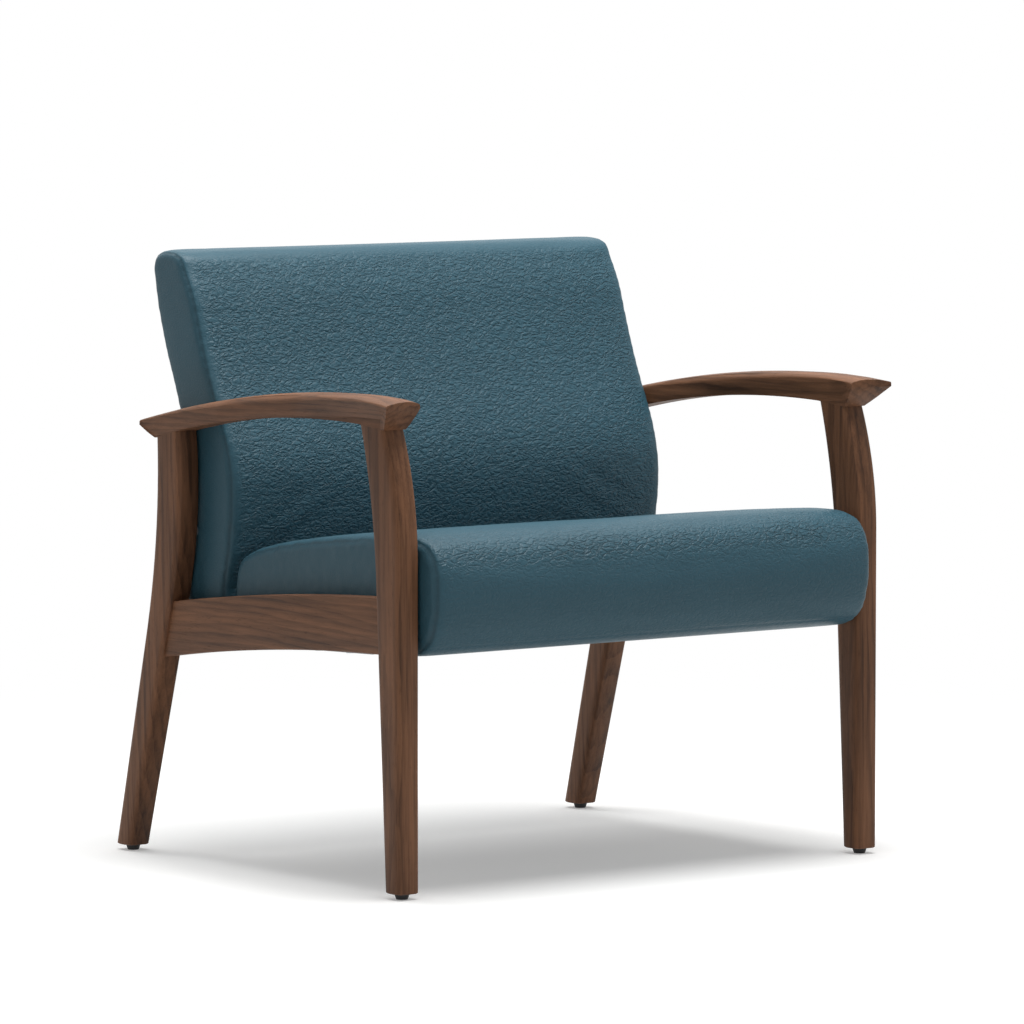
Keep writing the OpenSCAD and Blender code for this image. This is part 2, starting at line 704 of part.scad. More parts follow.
module seat_front_rail() {
    color(beech) placed() seat_place()
        block([-seat_frame_x, seat_frame_y0, 0], [seat_frame_x, seat_frame_y0 + seat_rail_t, seat_rail_h]);
}

module seat_rear_rail() {
    color(beech) placed() seat_place() difference() {
        block([-seat_frame_x, seat_frame_y1 - seat_rail_t, 0], [seat_frame_x, seat_frame_y1, seat_rail_h]);
        angle_space(0);
    }
}

module seat_side_rail(side) {
    color(beech) placed() seat_place() on_side(side) difference() {
        block([seat_frame_x - seat_rail_t, seat_frame_y0 + seat_rail_t, 0],
            [seat_frame_x, seat_frame_y1 - seat_rail_t, seat_rail_h]);
        angle_space(0);
        tube_space(slide_gap);
        seat_bolt_set(slide_gap);
        seat_insert_set();
    }
}

// Glue blocks in the corners of the seat frame
corner_block_l = 55;
corner_block_drop = 6;
module seat_corner_blocks() {
    x1 = seat_frame_x - seat_rail_t;
    low = tube_z + tube_h + corner_block_drop;
    color(beech) placed() seat_place()
        for (side = [1, -1]) on_side(side) {
            y0 = seat_frame_y0 + seat_rail_t;
            y1 = seat_frame_y1 - seat_rail_t;
            translate([0, 0, low]) linear_extrude(seat_rail_h - low)
                polygon([[x1, y0], [x1, y0 + corner_block_l], [x1 - corner_block_l, y0]]);
            translate([0, 0, low]) linear_extrude(seat_rail_h - low)
                polygon([[x1, y1], [x1 - corner_block_l, y1], [x1, y1 - corner_block_l]]);
        }
}

vent_cols = 6;
vent_rows = 3;
module seat_deck() {
    color(plywood) placed() seat_place() difference() {
        block([-seat_frame_x, seat_frame_y0, deck_z], [seat_frame_x, seat_frame_y1, deck_z + deck_t]);
        for (i = [1:vent_cols]) for (j = [1:vent_rows])
            translate([lerp(-seat_frame_x, seat_frame_x, i / (vent_cols + 1)),
                lerp(seat_frame_y0, seat_frame_y1, j / (vent_rows + 1)), deck_z - overrun])
                cylinder(h = deck_t + 2 * overrun, d = vent_d, $fn = round_faces);
    }
}

module dust_cover() {
    color(black) placed() seat_place()
        block([-angle_in_x + dust_margin, seat_frame_y0 + dust_margin, -dust_t],
            [angle_in_x - dust_margin, seat_frame_y1 - dust_margin, 0]);
}

// Steel tubes across the seat, with open ends
module cross_tube(y) {
    color(steel) placed() seat_place() difference() {
        block([-tube_half_l, y - tube_d / 2, tube_z], [tube_half_l, y + tube_d / 2, tube_z + tube_h]);
        block([-tube_half_l - overrun, y - tube_d / 2 + tube_wall, tube_z + tube_wall],
            [tube_half_l + overrun, y + tube_d / 2 - tube_wall, tube_z + tube_h - tube_wall]);
    }
}

// Steel angles on the inner faces of the side rails
module support_angle(side) {
    color(steel) placed() seat_place() on_side(side) difference() {
        union() {
            block([angle_in_x, angle_y0, 0], [angle_out_x, angle_y1, angle_t]);
            block([angle_out_x - angle_t, angle_y0, 0], [angle_out_x, angle_y1, angle_h]);
        }
        seat_bolt_set(slide_gap);
        angle_bolt_set(slide_gap, overrun);
    }
}

// Level bolts from the angles into the side rails
angle_bolt_shares = [0.1, 0.5, 0.9];
bolt_tip_room = 2;
angle_bolt_z = (angle_t + angle_h) / 2;
module at_angle_bolts() {
    for (s = angle_bolt_shares)
        translate([0, lerp(angle_y0, angle_y1, s), angle_bolt_z]) children();
}
module angle_bolt_set(grow, lead) {
    at_angle_bolts()
        rod_x(angle_out_x - angle_t - lead, angle_out_x + nut_l - bolt_tip_room, bolt_d / 2 + grow);
}
nut_wall = 2;
module rail_insert_set() {
    seat_place() at_angle_bolts() rod_x(rail_in_x, rail_in_x + nut_l, bolt_d / 2 + nut_wall);
}

module angle_bolts() {
    color(zinc) placed() seat_place() for (side = [1, -1]) on_side(side) {
        union() {
            angle_bolt_set(0, 0);
            at_angle_bolts() rod_x(angle_out_x - angle_t - head_t, angle_out_x - angle_t, head_d / 2);
        }
    }
}

module rail_inserts() {
    color(zinc) placed() seat_place() for (side = [1, -1]) on_side(side)
        at_angle_bolts() difference() {
            rod_x(rail_in_x, rail_in_x + nut_l, bolt_d / 2 + nut_wall);
            rod_x(rail_in_x - overrun, rail_in_x + nut_l + overrun, bolt_d / 2 + glue_gap);
        }
}

// Upright bolts from the angles into the seat frame
seat_bolt_shares = [0.28, 0.5, 0.7];
module at_seat_bolts() {
    for (s = seat_bolt_shares)
        translate([seat_frame_x - seat_rail_t / 2, lerp(angle_y0, angle_y1, s), 0]) children();
}
module seat_bolt_set(grow) {
    at_seat_bolts() translate([0, 0, -overrun])
        cylinder(h = overrun + angle_t + nut_l, r = bolt_d / 2 + grow, $fn = round_faces);
}
module seat_insert_set() {
    at_seat_bolts() translate([0, 0, angle_t])
        cylinder(h = nut_l, r = bolt_d / 2 + nut_wall, $fn = round_faces);
}

module seat_bolts() {
    color(zinc) placed() seat_place() for (side = [1, -1]) on_side(side)
        at_seat_bolts() union() {
            cylinder(h = angle_t + nut_l - bolt_tip_room, r = bolt_d / 2, $fn = round_faces);
            translate([0, 0, -head_t]) cylinder(h = head_t, r = head_d / 2, $fn = round_faces);
        }
}

module seat_inserts() {
    color(zinc) placed() seat_place() for (side = [1, -1]) on_side(side)
        difference() {
            seat_insert_set();
            at_seat_bolts()
                cylinder(h = angle_t + nut_l + overrun, r = bolt_d / 2 + glue_gap, $fn = round_faces);
        }
}

// Back parts follow the back's rear face, all bent at the same heights so that their faces meet
back_bends = 20;
back_line = [for (k = [0:back_bends])
    let (z = lerp(back_base_z, back_top_z, k / back_bends)) [z, back_rear_y(z)]];
function back_strip(z0, z1, near, far) =
    let (zs = concat([z0], [for (p = back_line) if (p[0] > z0 && p[0] < z1) p[0]], [z1]))
    concat(
        [for (z = zs) [lookup(z, back_line) - near, z]],
        [for (i = [len(zs) - 1:-1:0]) [lookup(zs[i], back_line) - far, zs[i]]]
    );
frame_x1 = back_half_w - back_wrap;
frame_x0 = frame_x1 - stile_w;
back_low_edge = 8;
back_top_foam = 26;
frame_z0 = back_base_z + back_low_edge;
frame_z1 = back_top_z - back_top_foam;
frame_far = panel_t + back_frame_t;
panel_x = back_half_w - panel_margin;
panel_z0 = frame_z0 - panel_margin / 4;
panel_z1 = back_top_z - back_rear_top_r - panel_margin / 4;

module strap_set(lead) {
    top = frame_z1 - back_rail_h / 2;
    low = frame_z0 + back_rail_h / 2;
    pitch = 2 * frame_x0 / strap_count;
    for (i = [0:strap_count - 1])
        let (x = -frame_x0 + pitch * (i + 1 / 2))
        along_x(x - strap_w / 2, x + strap_w / 2,
            back_strip(low, top, frame_far - lead, frame_far + strap_t));
}

module back_cushion() {
    color(vinyl) placed() difference() {
        cushion(back_loop, back_half_w, back_crown, back_top_crown);
        along_x(-frame_x1, frame_x1, back_strip(frame_z0, frame_z1, panel_t / 2, frame_far));
        along_x(-panel_x, panel_x, back_strip(panel_z0, panel_z1, -overrun, panel_t));
        strap_set(overrun);
        for (side = [1, -1]) on_side(side) sleeve_set(slide_gap, overrun);
    }
}

module back_stile(side) {
    color(beech) placed() on_side(side) difference() {
        along_x(frame_x0, frame_x1, back_strip(frame_z0, frame_z1, panel_t, frame_far));
        back_bolt_set(slide_gap, overrun);
    }
}

lumbar_rail_z0 = (back_bolt_low_z + back_bolt_high_z - back_rail_h) / 2;

module back_rail(z0) {
    color(beech) placed()
        along_x(-frame_x0, frame_x0, back_strip(z0, z0 + back_rail_h, panel_t, frame_far));
}

module back_webbing() {
    color(black) placed() strap_set(0);
}

module back_outer_panel() {
    color(vinyl_dark) placed()
        along_x(-panel_x, panel_x, back_strip(panel_z0, panel_z1, 0, panel_t));
}

// Bolts through the stiles and sleeves into the rear legs
back_bolt_zs = [back_bolt_low_z, back_bolt_high_z];
back_bolt_depth = 2;
leg_nut_l = 22;
module at_back_bolts() {
    for (z = back_bolt_zs)
        translate([0, back_rear_y(z) - panel_t - back_frame_t / 2 + back_bolt_depth, z]) children();
}
module back_bolt_set(grow, lead) {
    at_back_bolts() rod_x(frame_x0 - lead, leg_in_x + leg_nut_l - bolt_tip_room, bolt_d / 2 + grow);
}
module sleeve_set(grow, lead) {
    at_back_bolts() rod_x(frame_x1 - lead, leg_in_x, sleeve_d / 2 + grow);
}
module leg_insert_set() {
    at_back_bolts() rod_x(leg_in_x, leg_in_x + leg_nut_l, bolt_d / 2 + nut_wall);
}

module back_sleeves() {
    color(steel) placed() for (side = [1, -1]) on_side(side) difference() {
        sleeve_set(0, 0);
        back_bolt_set(slide_gap, overrun);
    }
}

module back_bolts() {
    color(zinc) placed() for (side = [1, -1]) on_side(side) union() {
        back_bolt_set(0, 0);
        at_back_bolts() rod_x(frame_x0 - head_t, frame_x0, head_d / 2);
    }
}

module leg_inserts() {
    color(zinc) placed() for (side = [1, -1]) on_side(side) difference() {
        leg_insert_set();
        at_back_bolts() rod_x(leg_in_x - overrun, leg_in_x + leg_nut_l + overrun, bolt_d / 2 + glue_gap);
    }
}

// Glides: a moulded pad carries the flanged end of a threaded stem, which turns in the foot's insert
pad_h = foot_z - slide_gap;
pad_bevel = 1;
flange_t = 2;
flange_step = 2;
flange_z = pad_h / 2 - flange_t / 2;
module at_foot(side, end) {
    translate([side * foot_x, end * foot_y, 0]) children();
}

module glide_stem(side, end) {
    color(zinc) placed() at_foot(side, end) rotate_extrude($fn = round_faces) polygon([
        [0, flange_z],
        [stem_d / 2 + flange_step, flange_z],
        [stem_d / 2 + flange_step, flange_z + flange_t],
        [stem_d / 2, flange_z + flange_t],
        [stem_d / 2, foot_z + stem_l - pad_bevel],
        [stem_d / 2 - pad_bevel, foot_z + stem_l],
        [0, foot_z + stem_l]
    ]);
}

module glide_pad(side, end) {
    neck_r = stem_d / 2 + running_gap;
    hollow_r = stem_d / 2 + flange_step + running_gap;
    color(black) placed() at_foot(side, end) rotate_extrude($fn = round_faces) polygon([
        [0, 0],
        [pad_floor_d / 2, 0],
        [pad_d / 2, pad_h - pad_bevel * 2],
        [pad_d / 2, pad_h - pad_bevel],
        [pad_d / 2 - pad_bevel, pad_h],
        [neck_r, pad_h],
        [neck_r, flange_z + flange_t + running_gap],
        [hollow_r, flange_z + flange_t + running_gap],
        [hollow_r, flange_z - running_gap],
        [0, flange_z - running_gap]
    ]);
}

module foot_inserts() {
    color(zinc) placed() for (side = [1, -1]) for (end = [1, -1])
        at_foot(side, end) difference() {
            translate([0, 0, foot_z])
                cylinder(h = stem_l + glue_room, r = insert_d / 2, $fn = round_faces);
            translate([0, 0, foot_z - overrun])
                cylinder(h = stem_l + glue_room + 2 * overrun,
                    r = stem_d / 2 + running_gap, $fn = round_faces);
        }
}

module arm_dowels() {
    color(beech) placed() for (side = [1, -1]) on_side(side) arm_dowel_set(0, 0);
}

module rail_dowels() {
    color(beech) placed() for (side = [1, -1]) on_side(side) rail_dowel_set(0, 0);
}

color(walnut) placed() arm(1);  // left_arm
color(walnut) placed() arm(-1);  // right_arm
color(walnut) placed() front_leg(1);  // left_front_leg
color(walnut) placed() front_leg(-1);  // right_front_leg
color(walnut) placed() rear_leg(1);  // left_rear_leg
color(walnut) placed() rear_leg(-1);  // right_rear_leg
color(walnut) placed() side_rail(1);  // left_side_rail
color(walnut) placed() side_rail(-1);  // right_side_rail
arm_dowels();
rail_dowels();
seat_cushion();
seat_front_rail();
seat_rear_rail();
seat_side_rail(1);  // seat_left_rail
seat_side_rail(-1);  // seat_right_rail
seat_corner_blocks();
seat_deck();
dust_cover();
cross_tube(tube_ys[0]);  // front_cross_tube
cross_tube(tube_ys[1]);  // rear_cross_tube
support_angle(1);  // left_support_angle
support_angle(-1);  // right_support_angle
angle_bolts();
rail_inserts();
seat_bolts();
seat_inserts();
back_cushion();
back_stile(1);  // left_back_stile
back_stile(-1);  // right_back_stile
back_rail(frame_z1 - back_rail_h);  // back_top_rail
back_rail(lumbar_rail_z0);  // back_lumbar_rail
back_rail(frame_z0);  // back_bottom_rail
back_webbing();
back_outer_panel();
back_sleeves();
back_bolts();
leg_inserts();
foot_inserts();
glide_stem(1, -1);  // front_left_glide_stem
glide_stem(-1, -1);  // front_right_glide_stem
glide_stem(1, 1);  // rear_left_glide_stem
glide_stem(-1, 1);  // rear_right_glide_stem
glide_pad(1, -1);  // front_left_glide_pad
glide_pad(-1, -1);  // front_right_glide_pad
glide_pad(1, 1);  // rear_left_glide_pad
glide_pad(-1, 1);  // rear_right_glide_pad
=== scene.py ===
import json
import math

import bmesh
import bpy
from bpy.props import FloatProperty, FloatVectorProperty, IntProperty, PointerProperty
from mathutils import Matrix, Vector, noise


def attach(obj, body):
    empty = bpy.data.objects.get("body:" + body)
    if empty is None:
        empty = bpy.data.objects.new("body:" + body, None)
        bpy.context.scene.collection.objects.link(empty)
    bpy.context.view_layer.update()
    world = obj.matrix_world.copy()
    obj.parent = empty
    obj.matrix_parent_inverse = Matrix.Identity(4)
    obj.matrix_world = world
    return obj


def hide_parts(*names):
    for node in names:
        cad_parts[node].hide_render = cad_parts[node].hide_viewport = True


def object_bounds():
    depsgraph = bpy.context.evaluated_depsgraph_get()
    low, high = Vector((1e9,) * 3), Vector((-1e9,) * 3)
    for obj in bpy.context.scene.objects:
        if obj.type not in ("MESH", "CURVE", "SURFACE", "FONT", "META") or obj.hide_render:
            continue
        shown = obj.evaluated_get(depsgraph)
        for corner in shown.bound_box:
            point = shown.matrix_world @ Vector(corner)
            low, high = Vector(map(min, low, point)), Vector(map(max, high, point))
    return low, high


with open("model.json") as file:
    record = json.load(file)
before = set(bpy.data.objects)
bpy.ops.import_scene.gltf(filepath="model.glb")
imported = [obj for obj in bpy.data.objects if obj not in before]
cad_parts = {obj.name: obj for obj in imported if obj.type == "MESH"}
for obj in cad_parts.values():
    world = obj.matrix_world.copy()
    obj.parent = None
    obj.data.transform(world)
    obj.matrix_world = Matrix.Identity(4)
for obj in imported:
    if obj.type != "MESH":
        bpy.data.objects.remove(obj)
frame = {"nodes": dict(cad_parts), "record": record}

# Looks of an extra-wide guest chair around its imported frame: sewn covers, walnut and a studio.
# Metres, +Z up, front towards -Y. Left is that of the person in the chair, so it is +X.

bl_info = {
    "name": "Wide guest chair",
    "version": (1, 0, 0),
    "blender": (4, 5, 0),
    "location": "3D View > Sidebar > Chair",
    "description": "Vinyl covers, walnut, glides and a studio around the chair's packed frame",
    "category": "Object",
}

CAD_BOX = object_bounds()
ROOT = "frame"
# Rays that see the white studio: the camera's, and those that a shiny or clear surface sends on
SEEN_RAYS = ("Is Camera Ray", "Is Glossy Ray", "Is Transmission Ray")

# Side outline of the back at its seams, as (y, z), clockwise from the lower front edge
BACK_OUTLINE = (
    (0.1620, 0.3500), (0.1925, 0.3500), (0.2370, 0.3500), (0.2402, 0.3532), (0.2402, 0.3900),
    (0.2371, 0.4274), (0.2371, 0.5048), (0.2431, 0.5667), (0.2595, 0.6286), (0.2823, 0.6906),
    (0.3049, 0.7525), (0.3189, 0.8041), (0.3250, 0.8460), (0.3203, 0.8596), (0.3063, 0.8650),
    (0.2781, 0.8660), (0.2571, 0.8594), (0.2466, 0.8420), (0.2259, 0.8041), (0.2109, 0.7628),
    (0.1944, 0.7164), (0.1757, 0.6699), (0.1561, 0.6286), (0.1391, 0.5874), (0.1299, 0.5461),
    (0.1293, 0.5048), (0.1359, 0.4480), (0.1480, 0.3861), (0.1480, 0.3640),
)
# Rear line of the back, as (z, y), which the frame and the outer panel follow
BACK_REAR = (
    (0.3500, 0.2371), (0.4790, 0.2371), (0.5048, 0.2371), (0.5306, 0.2383), (0.5564, 0.2414),
    (0.5822, 0.2462), (0.6080, 0.2529), (0.6338, 0.2614), (0.6596, 0.2709), (0.7370, 0.2994),
    (0.7628, 0.3083), (0.7886, 0.3154), (0.8144, 0.3208), (0.8402, 0.3245), (0.8660, 0.3263),
)
# Side outline of the seat at its seams, as shares of its length and height, from the nose down
SEAT_OUTLINE = (
    (0.000, 0.57), (0.010, 0.34), (0.032, 0.17), (0.072, 0.055), (0.130, 0.00),
    (0.350, 0.00), (0.600, 0.00), (0.850, 0.00), (0.965, 0.00), (0.992, 0.06),
    (1.003, 0.25), (1.003, 0.50), (0.988, 0.685), (0.938, 0.785), (0.845, 0.850),
    (0.710, 0.903), (0.540, 0.950), (0.360, 0.985), (0.230, 1.002), (0.145, 1.004),
    (0.080, 0.978), (0.037, 0.912), (0.010, 0.785),
)
SEAT_ORIGIN = Vector((0, -0.3666687, 0.334))
SEAT_TILT = math.radians(2)
SEAT_LENGTH = 0.4896
SEAT_HEIGHT = 0.162

# Rooms in the back cover for its frame and its outer panel: their lowest and highest point, depth
# before the back's rear line and half width, and the box that holds the walls of both
FRAME_ROOM = {"low": 0.358, "high": 0.840, "deep": 0.032, "half": 0.376}
PANEL_ROOM = {"low": 0.356, "high": 0.844, "deep": 0.004, "half": 0.378}
BACK_WALLS = {"low": 0.356, "high": 0.842, "deep": 0.036, "half": 0.3765}
# Room in the seat cover for its frame, in the seat's own side plane, and the box of its walls
SEAT_ROOM = {"front": 0.082, "rear": 0.4816, "top": 0.077, "half": 0.375}
SEAT_WALLS = {"front": 0.078, "rear": 0.4855, "top": 0.081, "half": 0.379}
SEAT_STILL = 0.079      # Up to this height only the nose has a crown
PAST = 0.02             # How far a cutter reaches out of its cover

# A cover starts with this share of its crown, less a hair, and the swelling adds the rest
CROWN_START = 0.8
CROWN_HAIR = 0.0004
# The power by which a crown falls off: the higher, the nearer to the sides
BACK_FULLNESS = 8
SEAT_FULLNESS = 10
SEAM_SPREAD = 0.010     # Width beside a seam that is held while a cover swells
LOOSE = 0.02            # Least share by which any point is held
CLOTH = {
    "quality": 5, "mass": 0.3, "tension_stiffness": 15, "compression_stiffness": 15,
    "bending_stiffness": 1.5, "use_pressure": True, "vertex_group_mass": "held",
}

# Unevenness of the covers: waves in a metre along x, y and z, and height
BACK_PUCKER = (4, 60, 85), 0.0002
BACK_DENT = (7, 7, 9), 0.0011
BACK_WRINKLE = (70, 120, 120), 0.00028
BACK_SIDE = (0, 16, 12), 0.0009
SEAT_PUCKER = (4, 75, 75), 0.0005
SEAT_DENT = (6, 8, 8), 0.0012
SEAT_SIDE = (0, 12, 12), 0.0008
PUCKER_REACH = 0.012    # Width beside a seam that puckers
SIDE_STARTS = (0.0004, 0.0021)    # Beyond the seam, where the side's own unevenness sets in
REAR_CORNER = 0.0016    # Fullness of the back's side at its lower rear corner
CORNER_DEPTH, CORNER_HEIGHT = (0.205, 0.225), (0.40, 0.45)
# Where the back's sides fill out: above the arms, and below them before the rear legs
ABOVE_ARMS, BELOW_ARMS, BEFORE_LEGS = (0.67, 0.72), (0.56, 0.605), (0.185, 0.21)
NOSE_DEPTH = 0.080      # How far back the seat's nose reaches
NOSE_SIDES = (0.030, 0.058)    # Behind these depths the seat's sides are less full
HEM_HEIGHT, HEM_WIDTH, HEM_DEPTH = 0.0115, 0.0016, 0.0011
BAND_HEIGHT, BAND_WIDTH = 0.141, 0.021    # Band of crinkles over the seat's nose
SEAM_LOOPS = (-1.6, -0.8, 0, 0.8, 1.6)    # Edge loops at a seam, in half widths of its groove
SIDE_BLEND = -0.001     # Beside the seam, where the reach of the side panels sets in

# Welding of a CAD mesh: shortest edge kept apart and kept at all, and angles for joined triangles
WELD, SLIVER = 0.00002, 0.00001
FLAT_ANGLE, SQUARE_ANGLE = math.radians(4), math.radians(60)
THREAD_FLAT = 0.9       # Height of a stitch for its width
THREAD_DIP = 0.5        # Share of its width by which a stitch's ends sink in
PANEL_GRAIN = 0.35      # Strength of the grain on the outer back

# Finishes of the inner pieces
BEECH = ((0.62, 0.42, 0.24), (0.42, 0.26, 0.14))
PLYWOOD = ((0.66, 0.50, 0.32), (0.45, 0.31, 0.18))
ROLLED_STEEL = (0.30, 0.30, 0.31)
ZINC = (0.62, 0.63, 0.65)
BLACK_PLASTIC = (0.012, 0.012, 0.013)
WEBBING = (0.030, 0.030, 0.032)
DUST_CLOTH = (0.018, 0.018, 0.020)
UPRIGHT_BEECH = {"left_back_stile", "right_back_stile", "arm_dowels"}
DEEP_BEECH = {"seat_left_rail", "seat_right_rail", "rail_dowels", "seat_corner_blocks"}

# Lamps: name, place, width and power in watts
LAMPS = (
    ("key", (0.15, -0.45, 4.0), 2.6, 170),
    ("rim", (-0.6, 1.7, 3.6), 2.0, 30),
)
LAMP_AIM = Vector((0, 0, 0.45))
VIEW_MIDDLE = Vector((0, 0.0198313, 0.4))
SENSOR = 36
WORLD_FILL = 0.25
FLOOR_SIZE = 60
FLOOR_DROP = 0.0002     # Keeps the floor just under the glides
FADE = (0.8, 2.4)       # Distances from the chair between which the floor fades to white


class CoverSettings(bpy.types.PropertyGroup):
    """Sizes and colour of the vinyl covers."""

    colour: FloatVectorProperty(
        name="Vinyl colour", description="Colour of the covers", subtype="COLOR",
        size=3, min=0, max=1, default=(0.0295, 0.089, 0.122))
    thread: FloatVectorProperty(
        name="Thread colour", description="Colour of the topstitching", subtype="COLOR",
        size=3, min=0, max=1, default=(0.024, 0.070, 0.098))
    back_half_width: FloatProperty(
        name="Back half width", description="From the middle to a side seam of the back",
        unit="LENGTH", default=0.386)
    seat_half_width: FloatProperty(
        name="Seat half width", description="From the middle to a side seam of the seat",
        unit="LENGTH", default=0.383)
    back_crown: FloatProperty(
        name="Back crown", description="Swell of the back's front between its side seams",
        unit="LENGTH", default=0.009)
    seat_crown: FloatProperty(
        name="Seat crown", description="Swell of the seat's top and nose between its side seams",
        unit="LENGTH", default=0.0065)
    weave: FloatProperty(
        name="Cover mesh", description="Mesh size of a cover before it is swelled",
        unit="LENGTH", default=0.006)
    pressure: FloatProperty(
        name="Pressure", description="Air pressure that swells a cover", default=4)
    travel: FloatProperty(
        name="Swell limit", description="Most that a point of a cover may move while it swells",
        unit="LENGTH", default=0.0014)
    steps: IntProperty(
        name="Swell steps", description="Frames that the swelling runs for", default=20)
    round_edge: FloatProperty(
        name="Edge radius", description="Rounding of a cover along its side seams",
        unit="LENGTH", default=0.0045)
    side_fill: FloatProperty(
        name="Side fill", description="Reach of a cover's side panels beyond their seams",
        unit="LENGTH", default=0.0022)
    seam_inset: FloatProperty(
        name="Seam inset", description="From the side of a cover to the middle of its seam",
        unit="LENGTH", default=0.0022)
    seam_depth: FloatProperty(
        name="Seam depth", description="Depth of the groove at a side seam",
        unit="LENGTH", default=0.0008)
    seam_width: FloatProperty(
        name="Seam width", description="Half width of the groove at a side seam",
        unit="LENGTH", default=0.0013)
    stitch_row: FloatProperty(
        name="Stitch row", description="From a side seam to its row of topstitching",
        unit="LENGTH", default=0.0062)
    stitch_pitch: FloatProperty(
        name="Stitch pitch", description="Distance from one stitch to the next",
        unit="LENGTH", default=0.0046)
    stitch_length: FloatProperty(
        name="Stitch length", description="Length of thread that shows in a stitch",
        unit="LENGTH", default=0.0036)
    thread_width: FloatProperty(
        name="Thread width", description="Thickness of the topstitching thread",
        unit="LENGTH", default=0.0006)


class WoodSettings(bpy.types.PropertyGroup):
    """Colours and figure of the walnut."""

    light: FloatVectorProperty(
        name="Light grain", description="Colour of the early wood", subtype="COLOR",
        size=3, min=0, max=1, default=(0.222, 0.100, 0.049))
    dark: FloatVectorProperty(
        name="Dark grain", description="Colour of the late wood", subtype="COLOR",
        size=3, min=0, max=1, default=(0.056, 0.024, 0.011))
    ring: FloatProperty(
        name="Ring spacing", description="Distance between growth rings",
        unit="LENGTH", default=0.011)
    sharp_angle: FloatProperty(
        name="Sharp edges", description="Edges that turn by more than this stay crisp",
        subtype="ANGLE", default=math.radians(38))
    crease_angle: FloatProperty(
        name="Sharp creases", description="Inward edges that turn by more than this stay crisp",
        subtype="ANGLE", default=math.radians(9))


class StudioSettings(bpy.types.PropertyGroup):
    """Camera, light and floor."""

    azimuth: FloatProperty(
        name="Camera azimuth", description="Turn of the view about the chair",
        subtype="ANGLE", default=math.radians(-36.8827))
    elevation: FloatProperty(
        name="Camera elevation", description="Height of the view above the horizon",
        subtype="ANGLE", default=math.radians(4.6777))
    distance: FloatProperty(
        name="Camera distance", description="From the camera to the middle of the view",
        unit="LENGTH", default=10.0346)
    right: FloatProperty(
        name="View right", description="Shift of the middle of the view to the right",
        unit="LENGTH", default=0.0236)
    up: FloatProperty(
        name="View up", description="Shift of the middle of the view upwards",
        unit="LENGTH", default=0.0904)
    lens: FloatProperty(
        name="Lens", description="Focal length in mm", default=245.29)
    floor_lift: FloatProperty(
        name="Floor lift", description="Light that the floor near the chair adds where it is seen",
        default=0.29)
    floor_bounce: FloatProperty(
        name="Floor bounce", description="Share of the floor's colour that lights the chair",
        default=0.8)
    floor: FloatVectorProperty(
        name="Floor colour", description="Colour of the floor", subtype="COLOR",
        size=3, min=0, max=1, default=(0.80, 0.80, 0.79))


class Value:
    """A socket of a material's node, with arithmetic that adds the nodes for it."""

    def __init__(self, finish, socket):
        self.finish = finish
        self.socket = socket

    def __add__(self, other):
        return self.finish.math("ADD", self, other)

    def __sub__(self, other):
        return self.finish.math("SUBTRACT", self, other)

    def __rsub__(self, other):
        return self.finish.math("SUBTRACT", other, self)

    def __mul__(self, other):
        return self.finish.math("MULTIPLY", self, other)

    def __truediv__(self, other):
        return self.finish.math("DIVIDE", self, other)

    def __rtruediv__(self, other):
        return self.finish.math("DIVIDE", other, self)

    def __pow__(self, other):
        return self.finish.math("POWER", self, other)

    def __rpow__(self, other):
        return self.finish.math("POWER", other, self)

    def __abs__(self):
        return self.finish.math("ABSOLUTE", self)

    __radd__ = __add__
    __rmul__ = __mul__

    def step(self, low, high):
        """0 below low and 1 above high, with a soft ramp between them."""
        return self.finish.add(
            "MapRange", {"interpolation_type": "SMOOTHSTEP"},
            {"Value": self, "From Min": low, "From Max": high})


